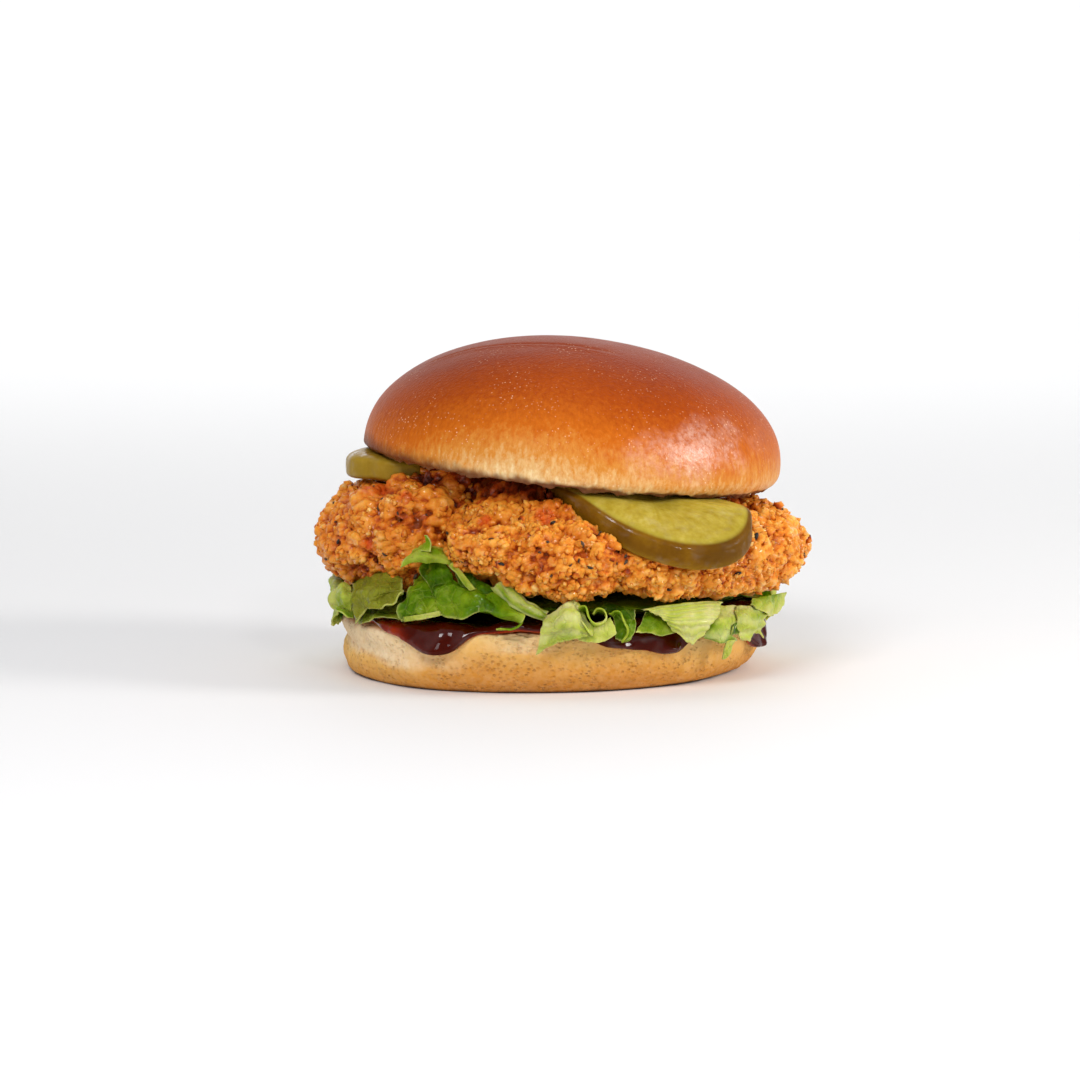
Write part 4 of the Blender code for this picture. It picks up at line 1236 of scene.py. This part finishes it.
LEAF_GREENS = (
    (0.0, (0.57, 0.58, 0.2)),
    (0.25, (0.43, 0.49, 0.07)),
    (0.5, (0.18, 0.27, 0.006)),
    (0.75, (0.075, 0.165, 0.001)),
    (1.0, (0.025, 0.07, 0.001)),
)
LEAF_VEIN = (0.45, 0.55, 0.08)
LEAF_DULL = (0.3, 0.2, 0.03)
LEAF_RIB = (0.7, 0.72, 0.36)
LEAF_RIM = (0.56, 0.58, 0.17)

# The leaves in front, left to right: settings, then rails from the top to the lower edge. A rail's points are
# (column, row, reach): the image pixel at which each shows and its distance in mm from the Z axis.
FRONT_LEAVES = (
    (dict(green=(0.42, 0.3), tear=0.02, grid=(26, 26)),
     ((338, 587, 60), (343, 583, 59), (350, 586, 57)),
     ((332, 594, 60.5), (341, 594, 62.5), (352, 595, 60)),
     ((333, 603, 60.5), (341, 604, 62.5), (352, 606, 60)),
     ((336, 609, 59.5), (343, 610, 61), (352, 611, 59))),
    (dict(green=(0.3, 0.45), tear=0.02, crinkle=0.2, grid=(14, 30)),
     ((330, 602, 60.5), (338, 606, 61), (346, 609, 60), (354, 611, 58)),
     ((330, 604, 61), (339, 612, 62), (347, 616, 61), (355, 618, 58))),
    (dict(green=(0.75, 0.6), crinkle=0.5, dull=0.3),
     ((358, 604, 55), (372, 602, 55), (388, 600, 55), (408, 602, 53)),
     ((356, 615, 58), (372, 612, 58), (388, 611, 57.5), (408, 614, 56)),
     ((358, 625, 58.5), (374, 620, 59), (390, 618, 58.5), (408, 623, 57))),
    (dict(green=(0.62, 0.42), crinkle=0.6, ruffle=0.6, folds=2, dull=0.45),
     ((354, 578, 53), (368, 572, 53), (384, 572, 53), (403, 579, 52)),
     ((350, 592, 59.5), (365, 588, 61), (383, 588, 60), (404, 588, 57)),
     ((349, 607, 60), (361, 605, 62.5), (378, 601, 61), (403, 591, 58)),
     ((357, 626, 58.8), (366, 610, 62), (384, 607, 62), (402, 592, 60))),
    (dict(green=(0.62, 0.66), tear=0.02, crinkle=0.5),
     ((419, 575, 47), (424, 573, 47), (430, 573, 47), (440, 576, 48)),
     ((409, 592, 56), (420, 590, 57), (430, 590, 57), (442, 592, 57)),
     ((399, 609, 59.5), (414, 608, 61), (428, 608, 60.5), (443, 606, 59)),
     ((403, 621, 58.8), (416, 619, 60.5), (429, 617, 60.5), (444, 614, 59))),
    (dict(green=(0.28, 0.3), tear=0.02, crinkle=0.15, grid=(10, 34)),
     ((403, 617, 60.2), (416, 615, 61.5), (429, 613, 61.5), (443, 610, 60)),
     ((404, 622, 60), (417, 620, 61.5), (430, 618, 61.5), (443, 615, 60))),
    # A green leaf darkened to its deepest green by painted shade: this fold lies in shadow behind the big
    # leaf.
    (dict(green=(0.95, 0.85), tear=0.02),
     ((451, 559, 48), (462, 566, 50), (474, 575, 53), (486, 584, 55), (498, 590, 56)),
     ((455, 572, 52), (466, 578, 54), (477, 585, 56), (488, 592, 57), (499, 598, 57)),
     ((459, 584, 54), (468, 590, 56), (479, 595, 57), (490, 600, 58), (500, 604, 58))),
    (dict(green=(0.7, 0.78), crinkle=0.62, ruffle=0.8, folds=3, tear=0.02, grid=(56, 100)),
     ((416, 562, 48.5), (427, 559, 50), (440, 560, 52), (453, 573, 54), (467, 587, 56), (486, 590, 57),
      (499, 594, 57)),
     ((420, 573, 51.5), (431, 573, 54), (444, 578, 56), (457, 586, 58), (472, 594, 59), (488, 596, 59.5),
      (503, 600, 58)),
     ((428, 588, 56.5), (438, 592, 59), (450, 598, 61), (462, 602, 61.5), (478, 603, 61), (490, 605, 61),
      (508, 607, 59)),
     ((443, 611, 58.5), (446, 616, 59.5), (455, 620, 60.5), (465, 619, 61), (480, 611, 61.5),
      (493, 611, 60.5), (512, 613, 59))),
    (dict(green=(0.4, 0.42), tear=0.015, crinkle=0.3),
     ((401, 568, 60.5), (412, 563, 60), (427, 563, 58), (440, 563, 56), (452, 566, 54)),
     ((404, 560, 60), (415, 555, 60), (429, 556, 58.5), (441, 557, 56), (452, 562, 53)),
     ((412, 552, 56), (421, 548, 56), (430, 549, 55), (441, 550, 52), (449, 555, 50)),
     ((418, 549, 50), (424, 542, 50), (430, 543, 49), (440, 548, 47), (446, 552, 46))),
    (dict(green=(0.36, 0.4), tear=0.01, crinkle=0.1, grid=(10, 22)),
     ((421, 551, 58), (425.5, 543, 57), (424.5, 535, 56.5)),
     ((431, 552, 58), (431, 543, 57), (426.5, 535, 56.5))),
    (dict(green=(0.3, 0.5), tear=0.03, crinkle=0.2, grid=(10, 40)),
     ((452, 562, 54.5), (461, 571, 56), (470, 582, 58), (476, 590, 58)),
     ((448, 566, 55), (456, 574, 57), (464, 585, 58.6), (470, 591, 59))),
    (dict(green=(0.6, 0.55), tear=0.01, crinkle=0.25),
     ((486, 594, 58), (494, 594, 58), (503, 600, 58), (514, 607, 58), (524, 613, 57)),
     ((479, 602, 61), (489, 603, 61), (500, 607, 60.5), (512, 611, 60), (524, 616, 58.5)),
     ((478, 611, 61.5), (489, 611, 61.5), (501, 616.5, 62), (513, 614.5, 61.5), (523, 619, 60.5)),
     ((486, 612, 60), (493, 614, 60), (501, 619, 59.5), (512, 619, 59), (520, 622, 59))),
    (dict(green=(0.36, 0.5), tear=0.01, crinkle=0.1, grid=(10, 50)),
     ((508, 616, 58), (515, 614.5, 60), (521, 618, 61), (521, 623, 61), (516, 627.5, 61), (507, 629, 61),
      (496, 628, 60.5)),
     ((508, 617, 56), (515, 616, 57), (520, 619, 58), (520, 623, 58), (516, 626.5, 58.5), (507, 628, 59),
      (498, 627.5, 59))),
    (dict(green=(0.42, 0.55), tear=0.02, crinkle=0.35, rib=2.5),
     ((507, 578, 54), (519, 592, 56), (533, 603, 57), (549, 612, 57)),
     ((499, 583, 56), (511, 597, 58.5), (528, 608, 59), (547, 616, 59)),
     ((490, 588, 56), (505, 603, 58.5), (524, 614, 59.5), (545, 622, 59))),
    (dict(green=(0.22, 0.34), crinkle=0.45, tear=0.02, rib=3.0, grid=(44, 56)),
     ((545, 616, 58), (556, 610, 59), (567, 604, 59.5), (573, 601, 58.5), (577, 606, 59), (580, 615, 60)),
     ((543, 626, 61), (555, 620, 62.5), (566, 614, 63), (574, 612, 62.5), (580, 618, 62),
      (585, 625, 61.5)),
     ((540, 638, 61.5), (551, 633, 63), (562, 628, 64), (571, 625, 64), (580, 629, 63.5), (588, 633, 62)),
     ((535, 656, 58.5), (545, 650, 59.5), (555, 645, 61), (565, 642, 62.5), (577, 639, 63),
      (591, 636, 61.5))),
    (dict(green=(0.3, 0.45), tear=0.02, crinkle=0.15, grid=(12, 40)),
     ((573, 602, 59.5), (577, 611, 61), (582, 621, 62.5), (588, 630, 63.5), (592, 636, 63)),
     ((577, 603, 58), (582, 612, 59), (587, 620, 60), (592, 628, 61), (594, 635, 61))),
    (dict(green=(0.35, 0.7), tear=0.02, crinkle=0.1, grid=(16, 80)),
     ((577, 608, 61.5), (585, 607, 62.5), (588, 616, 63), (593, 623, 63.5), (600, 624, 63.5),
      (606, 618, 62.5), (604, 610, 61.5), (597, 608, 61), (592, 614, 60.5)),
     ((580, 612, 59), (586, 611, 59), (590, 619, 60), (594, 626, 60.5), (600, 627, 60.5), (606, 622, 60),
      (605, 613, 59), (598, 611, 58.5), (594, 616, 58))),
    (dict(green=(0.3, 0.24), tear=0.03, crinkle=0.4, ruffle=0.4, folds=2),
     ((583, 620, 58), (592, 624, 60), (601, 622, 61), (611, 617, 60)),
     ((580, 630, 60), (591, 632, 61.5), (603, 631, 62.5), (615, 626, 61.5)),
     ((577, 640, 61), (591, 643, 62), (604, 642, 63), (616, 634, 62))),
    (dict(green=(0.55, 0.9), tear=0.02, crinkle=0.15, grid=(14, 60)),
     ((609, 615, 60.5), (614, 611, 61), (620, 612, 61.5), (624, 620, 62), (628, 629, 62), (627, 637, 61.5),
      (621, 643, 61)),
     ((613, 617, 58), (617, 614, 58.5), (622, 616, 59), (627, 623, 59), (631, 631, 59), (631, 638, 59),
      (626, 642, 59))),
    (dict(green=(0.85, 0.7), tear=0.03, crinkle=0.4),
     ((612, 613, 57), (620, 611, 57.5), (628, 609, 58), (636, 609, 58)),
     ((614, 625, 58), (622, 624, 58.5), (629, 621, 60), (636, 620, 60)),
     ((615, 639, 59), (622, 642, 60), (629, 640, 61), (635, 633, 61))),
    (dict(green=(0.9, 0.42), crinkle=0.4, tear=0.03),
     ((646, 610, 56), (656, 611, 56), (666, 613, 56), (678, 617, 56)),
     ((641, 622, 59), (652, 620, 59), (663, 622, 59), (676, 626, 59)),
     ((634, 634, 60), (648, 633, 60.5), (661, 636, 60.5), (677, 633, 60))),
    (dict(green=(0.2, 0.14), crinkle=0.25, tear=0.04, rib=7.0, grid=(60, 60)),
     ((641, 611, 58), (660, 606, 60), (682, 603, 61), (705, 601, 61), (724, 602, 60)),
     ((655, 615, 61), (670, 614, 62), (686, 612, 62.5), (704, 610, 62), (720, 611, 61)),
     ((663, 620, 62), (675, 623, 63), (688, 624, 63.5), (701, 622, 63), (713, 622, 62)),
     ((673, 632, 61.5), (682, 637, 62), (690, 646, 61), (697, 640, 62), (704, 636, 61.5))),
    (dict(green=(0.2, 0.55), crinkle=0.3, tear=0.04, rib=2.0),
     ((716, 606, 58), (726, 606, 58), (736, 607, 58), (744, 609, 57)),
     ((712, 620, 61), (720, 619, 61.5), (728, 620, 61.5), (738, 619, 60)),
     ((704, 636, 61), (713, 637, 62), (722, 638, 62), (734, 634, 61)),
     ((703, 638, 60.5), (714, 642, 61), (724, 643, 61.5), (739, 641, 60))),
    (dict(green=(0.85, 0.9), crinkle=0.2, tear=0.08, grid=(14, 14)),
     ((732, 627, 61.8), (740, 620, 61)),
     ((732, 636, 61.8), (740, 634, 61))),
    (dict(green=(0.3, 0.25), crinkle=0.1, tear=0.05, grid=(22, 10)),
     ((726, 640, 61.2), (735, 640, 61)),
     ((724, 649, 60.5), (732, 649, 60)),
     ((721, 659, 58.5), (724, 659, 58.3))),
    (dict(green=(0.4, 0.2), crinkle=0.35, tear=0.09, rib=3.0),
     ((734, 606, 59), (744, 605, 60), (755, 606, 60.5), (766, 606, 60)),
     ((736, 620, 61.5), (746, 620, 62), (756, 620, 62), (767, 617, 61)),
     ((738, 634, 61), (748, 633, 61.5), (757, 630, 61.5), (766, 627, 61)),
     ((739, 639, 60.5), (748, 642, 61), (757, 634, 61), (764, 640, 60))),
    (dict(green=(0.45, 0.12), crinkle=0.3, tear=0.03),
     ((752, 598, 60), (762, 597, 60.5), (772, 595, 61), (786, 592, 62)),
     ((753, 604, 61), (764, 604, 61.5), (774, 603, 61.5), (783, 602, 61.5)),
     ((756, 609, 61), (765, 613, 61.5), (771, 617, 61.5), (778, 613, 61))),
)


def nibbled(u, v, salt, seed):
    """How far a leaf's edge is eaten away, 0 to 1: layered noise over u and v."""
    return 0.5 + 0.5 * ripples(np.stack([u * 13, v * 13, 0 * u + salt], axis=-1), 1.6, seed, 3)


def leaf(
    control, green, ruffle=0.0, folds=5, crinkle=0.35, tear=0.03, rib=0.0, salt=0, dull=0.0, grid=(34, 46)
):
    """One leaf: a smooth surface through a control grid, from its top to its lower edge, then made uneven.

    The edges are nibbled by noise, ruffles of sin(folds * 2 pi u) grow towards the lower edge, crinkles and
    blisters are noise, the edges flutter, and ribs are fine ridges of sin(rib * 2 pi v) that bend along u.
    """
    rows, columns = grid
    u, v = np.meshgrid(np.linspace(0, 1, columns), np.linspace(0, 1, rows))
    left = tear * nibbled(0 * u, v, salt, 801)
    right = tear * nibbled(0 * u + 1, v, salt, 811)
    low = 1.4 * tear * nibbled(u, 0 * v, salt, 821)
    su = left + (1 - left - right) * u
    sv = v * (1 - low)
    points = patch(control, su, sv)
    along, across = np.gradient(points, axis=1), np.gradient(points, axis=0)
    normal = np.cross(along, across)
    normal /= np.maximum(np.linalg.norm(normal, axis=-1, keepdims=True), 1e-12)
    crinkles = ripples(points, 5 * MM, 831 + salt, 3)
    ribs = np.sin(rib * 2 * PI * v + 1.2 * np.sin(3 * u + salt)) if rib else 0 * u
    edge = np.minimum(np.minimum(u, 1 - u) * columns / rows, 1 - v)
    blisters = 0.5 - np.abs(waves(points, 3 * MM, 871 + salt))
    flutter = (1 - eased(edge, 0.0, 0.3)) * waves(points, 2.6 * MM, 881 + salt)
    out = ruffle * MM * v**1.5 * np.sin(folds * 2 * PI * u + salt)
    out = out + crinkle * MM * (1.9 * crinkles + 1.8 * blisters) + 0.16 * MM * ribs
    points = points + normal * (out + FLUTTER * flutter)[..., None]
    facts = {
        "green": green[0] + (green[1] - green[0]) * v + 0.16 * crinkles,
        "rim": 1 - eased(edge, 0.0, 0.05),
        "vein": np.clip(0.5 + 0.5 * ribs, 0, 1) * (1.0 if rib else 0.0),
        "dull": dull + 0 * u,
    }
    return points, facts


def front_leaves():
    """The leaves that show in front."""
    for salt, (settings, *rails) in enumerate(FRONT_LEAVES, 1):
        control = np.array([[seen(*spot) for spot in rail] for rail in rails])
        yield leaf(control, salt=salt, **settings)


def round_leaves():
    """Leaves at the sides and back in two layers: long ones, and shorter ones that flare out over them."""
    random = np.random.default_rng(SEED + 2)
    for layer in (0, 1):
        azimuth = 2.0 + 5 * layer
        while azimuth < 176:
            half = random.uniform(8, 15)
            yield round_leaf(azimuth + 0.8 * half, half, layer, random)
            azimuth += half * random.uniform(1.1, 1.6 + 0.6 * layer)


def round_leaf(azimuth, half, layer, random):
    """A leaf from the bed, over the bottom bun's edge, to its tip: a patch in azimuth and height, askew."""
    spread = np.linspace(-1, 1, 7)
    theta = np.radians(azimuth + half * spread)
    outline = heel_outline(theta)
    wobble = random.normal(size=(5, 7))
    lean = random.uniform(-3, 3) * spread
    tip = random.uniform(8.5, 15.5) + 3 * layer
    flare = (random.uniform(0, 2.2) + layer) * (1 - 0.85 * eased(azimuth + half, 140, 165))
    brow_z = 22 + random.uniform(-1, 1.5) + 0.5 * lean + 0.8 * wobble[1]
    tip_z = tip + lean + random.uniform(1, 4) * spread**2 + 1.1 * wobble[2]
    inner = around(theta, 45 * MM + 0 * theta, heel_top(45 * MM * np.sin(theta)) + (4 + layer) * MM)
    brow = around(theta, outline + (0.4 + 0.7 * flare + 0.5 * wobble[0]) * MM, brow_z * MM)
    cheek = around(theta, outline + (0.9 + flare + 0.8 * wobble[3]) * MM, (0.45 * brow_z + 0.55 * tip_z) * MM)
    end = around(theta, outline + (0.5 + flare + 0.9 * wobble[4]) * MM, tip_z * MM)
    green = random.uniform(0.15, 0.75)
    return leaf(
        np.stack([inner, brow, cheek, end]),
        green=(green, green + random.uniform(-0.3, 0.2)),
        ruffle=random.uniform(0.2, 0.9),
        folds=random.uniform(0.8, 2),
        crinkle=random.uniform(0.4, 0.65),
        tear=0.05,
        rib=random.choice([0.0, 3.0]),
        salt=int(50 + 7 * azimuth + layer),
    )


def make_lettuce():
    """The lettuce: a crumpled bed under the fillet, the front leaves, and those round the sides and back."""
    theta = azimuths(BED_COLUMNS)
    phi = (stations((0, 1, 40)) - 0.5) * PI
    wave = np.sin(5 * theta) + 0.6 * np.sin(9 * theta + 1.3)
    radius = (BED_RADIUS + BED_WAVE * wave * 0.6) * np.abs(np.cos(phi)) ** 0.3
    low = heel_top(radius * np.sin(theta)) + BED_LOW
    bed = around(theta, radius, low + (BED_HIGH - BED_LOW) * (0.5 + 0.5 * np.sin(phi)))
    crumple = ripples(bed, 7 * MM, 861, 3)
    bed = bed + outward(bed) * (0.8 * MM * crumple)[..., None]
    facts = {"green": 0.75 + 0.2 * crumple, "rim": 0 * crumple, "vein": 0 * crumple, "dull": 0 * crumple}
    own = dict(slot="lettuce", replaced=["lettuce"], material=crisp_lettuce())
    shell_piece("lettuce_bed", bed, facts, **own)
    sheets_piece("lettuce_front", front_leaves(), LEAF_THICKNESS, **own)
    sheets_piece("lettuce_round", round_leaves(), LEAF_THICKNESS, **own)


def crisp_lettuce():
    """Crisp leaf: from pale yellow-green to deep green, with pale veins, ribs and rims, wet in patches."""
    f = Finish("crisp_lettuce", Roughness=0.34, Specular_IOR_Level=0.05, Coat_Roughness=0.12)
    f.soak(0.35, (0.6, 1.0, 0.1), 0.0025)
    mottle = f.noise(2.2 * MM, 5, 0.6)
    level = f.plus(f.fact("green"), f.swing(mottle, 0.56))
    level = f.plus(level, f.swing(f.noise(7 * MM, 2), 0.8))
    colour = f.ramp(level, *LEAF_GREENS)
    shaken = f.added(f.noise(2.4 * MM, 3, output="Color"), 3.0 * MM)
    veins = f.fit(f.cells(3.6 * MM, "DISTANCE_TO_EDGE", place=shaken), 0.0, 0.1, 1.0, 0.0)
    veins = f.times(veins, f.fit(f.noise(5 * MM, 2), 0.4, 0.6, 0.0, 0.2))
    colour = f.mix(veins, colour, LEAF_VEIN)
    colour = f.mix(f.fact("dull"), colour, LEAF_DULL)
    colour = f.tinted(colour, "vein", 0.35, LEAF_RIB)
    colour = f.tinted(colour, "rim", 0.6, LEAF_RIM)
    height = f.plus(mottle, f.times(f.noise(0.9 * MM, 3), 0.45))
    height = f.plus(height, f.times(veins, -1.2))
    wet = f.fit(f.noise(1.5 * MM, 3), 0.54, 0.66, 0.0, 0.5)
    f.paint(Base_Color=colour, Coat_Weight=wet, Normal=f.bump(height, 0.85 * MM, 1.0))
    return f.material


# Floor, light and camera.

FLOOR_BEND = 0.8
FLOOR_BACK = 1.6
BURGER_MIDDLE = (0.0, 0.0, 0.04)
WHITE = (1, 1, 1)
# Each lamp: its name, place, aim, width and height, power and colour.
LAMPS = (
    ("key", (0.8, -0.22, 0.4), BURGER_MIDDLE, (0.26, 0.22), 4.2, (1.0, 0.96, 0.92)),
    ("top", (0.0, 0.1, 1.3), BURGER_MIDDLE, (1.0, 0.8), 2, WHITE),
    ("fill", (-0.35, -1.05, 0.85), BURGER_MIDDLE, (0.5, 0.4), 8.2, (0.99, 0.98, 1.0)),
    ("spark", (0.3, -1.0, 0.62), BURGER_MIDDLE, (0.1, 0.1), 1.2, WHITE),
    ("backdrop", (0.0, 0.9, 1.5), (0.0, 2.4, 0.7), (3.0, 0.6), 26, WHITE),
)
SURROUND_COLOUR = (0.97, 0.98, 1.0, 1)
SURROUND_STRENGTH = 0.42


def make_floor():
    """A pale floor that sweeps up into a backdrop: flat, a quarter circle of 0.8 m, then upright."""
    along = np.linspace(0, PI / 2, 24)
    upright = FLOOR_BACK + FLOOR_BEND
    y = np.concatenate([[-3.0, FLOOR_BACK], FLOOR_BACK + FLOOR_BEND * np.sin(along[1:]), [upright]])
    z = np.concatenate([[0.0, 0.0], FLOOR_BEND * (1 - np.cos(along[1:])), [3.2]]) - 0.05 * MM
    x = np.array([-4.0, 4.0])
    points = np.stack([np.tile(x, len(y)), np.repeat(y, 2), np.repeat(z, 2)], axis=1)
    faces = [[2 * i, 2 * i + 1, 2 * i + 3, 2 * i + 2] for i in range(len(y) - 1)]
    mesh = bpy.data.meshes.new("floor")
    mesh.from_pydata(points.tolist(), [], faces)
    mesh.shade_smooth()
    f = Finish("floor", Roughness=0.7, Base_Color=(0.9, 0.9, 0.9, 1))
    f.paint(Normal=f.bump(f.noise(4 * MM, 3), 0.05 * MM, 0.2))
    mesh.materials.append(f.material)
    floor = bpy.data.objects.new("floor", mesh)
    bpy.context.scene.collection.objects.link(floor)


def add_light(name, place, aim, size, power, colour):
    """A rectangular area light at that place, turned to its aim."""
    data = bpy.data.lights.new(name, "AREA")
    data.shape = "RECTANGLE"
    data.size, data.size_y = size
    data.energy = power
    data.color = colour
    light = bpy.data.objects.new(name, data)
    bpy.context.scene.collection.objects.link(light)
    light.location = place
    light.rotation_euler = (Vector(place) - Vector(aim)).to_track_quat("Z", "Y").to_euler()


def light_stage():
    """Soft studio light: a low key at the right, a broad overhead, a front fill, and a lit white backdrop."""
    world = bpy.data.worlds.new("surround")
    world.use_nodes = True
    background = world.node_tree.nodes["Background"]
    background.inputs["Color"].default_value = SURROUND_COLOUR
    background.inputs["Strength"].default_value = SURROUND_STRENGTH
    bpy.context.scene.world = world
    for lamp in LAMPS:
        add_light(*lamp)
    bpy.context.scene.view_settings.view_transform = "Standard"


def add_camera():
    """The camera at the photograph's viewing angle."""
    place, _, _, _ = camera_place()
    data = bpy.data.cameras.new("camera")
    data.sensor_width = SENSOR_WIDTH
    data.lens = FOCAL_PIXELS * SENSOR_WIDTH / IMAGE_SIDE
    data.clip_start, data.clip_end = 0.05, 20
    camera = bpy.data.objects.new("camera", data)
    bpy.context.scene.collection.objects.link(camera)
    camera.location = place
    camera.rotation_euler = (PI / 2 - CAMERA_TILT, 0, 0)
    bpy.context.scene.camera = camera


def main():
    """The burger from its buns inwards, then the stage around it."""
    make_bottom_bun()
    make_top_bun()
    make_sauce()
    grid, raised, red = make_fillet()
    make_knobs(grid, raised, red)
    make_flecks(grid)
    make_pickle("pickle_slice_right", "pickle_right", PICKLE_RIGHT, PICKLE_EDGE_RIGHT)
    make_pickle("pickle_slice_left", "pickle_left", PICKLE_LEFT, PICKLE_EDGE_LEFT)
    make_lettuce()
    make_floor()
    light_stage()
    add_camera()


main()
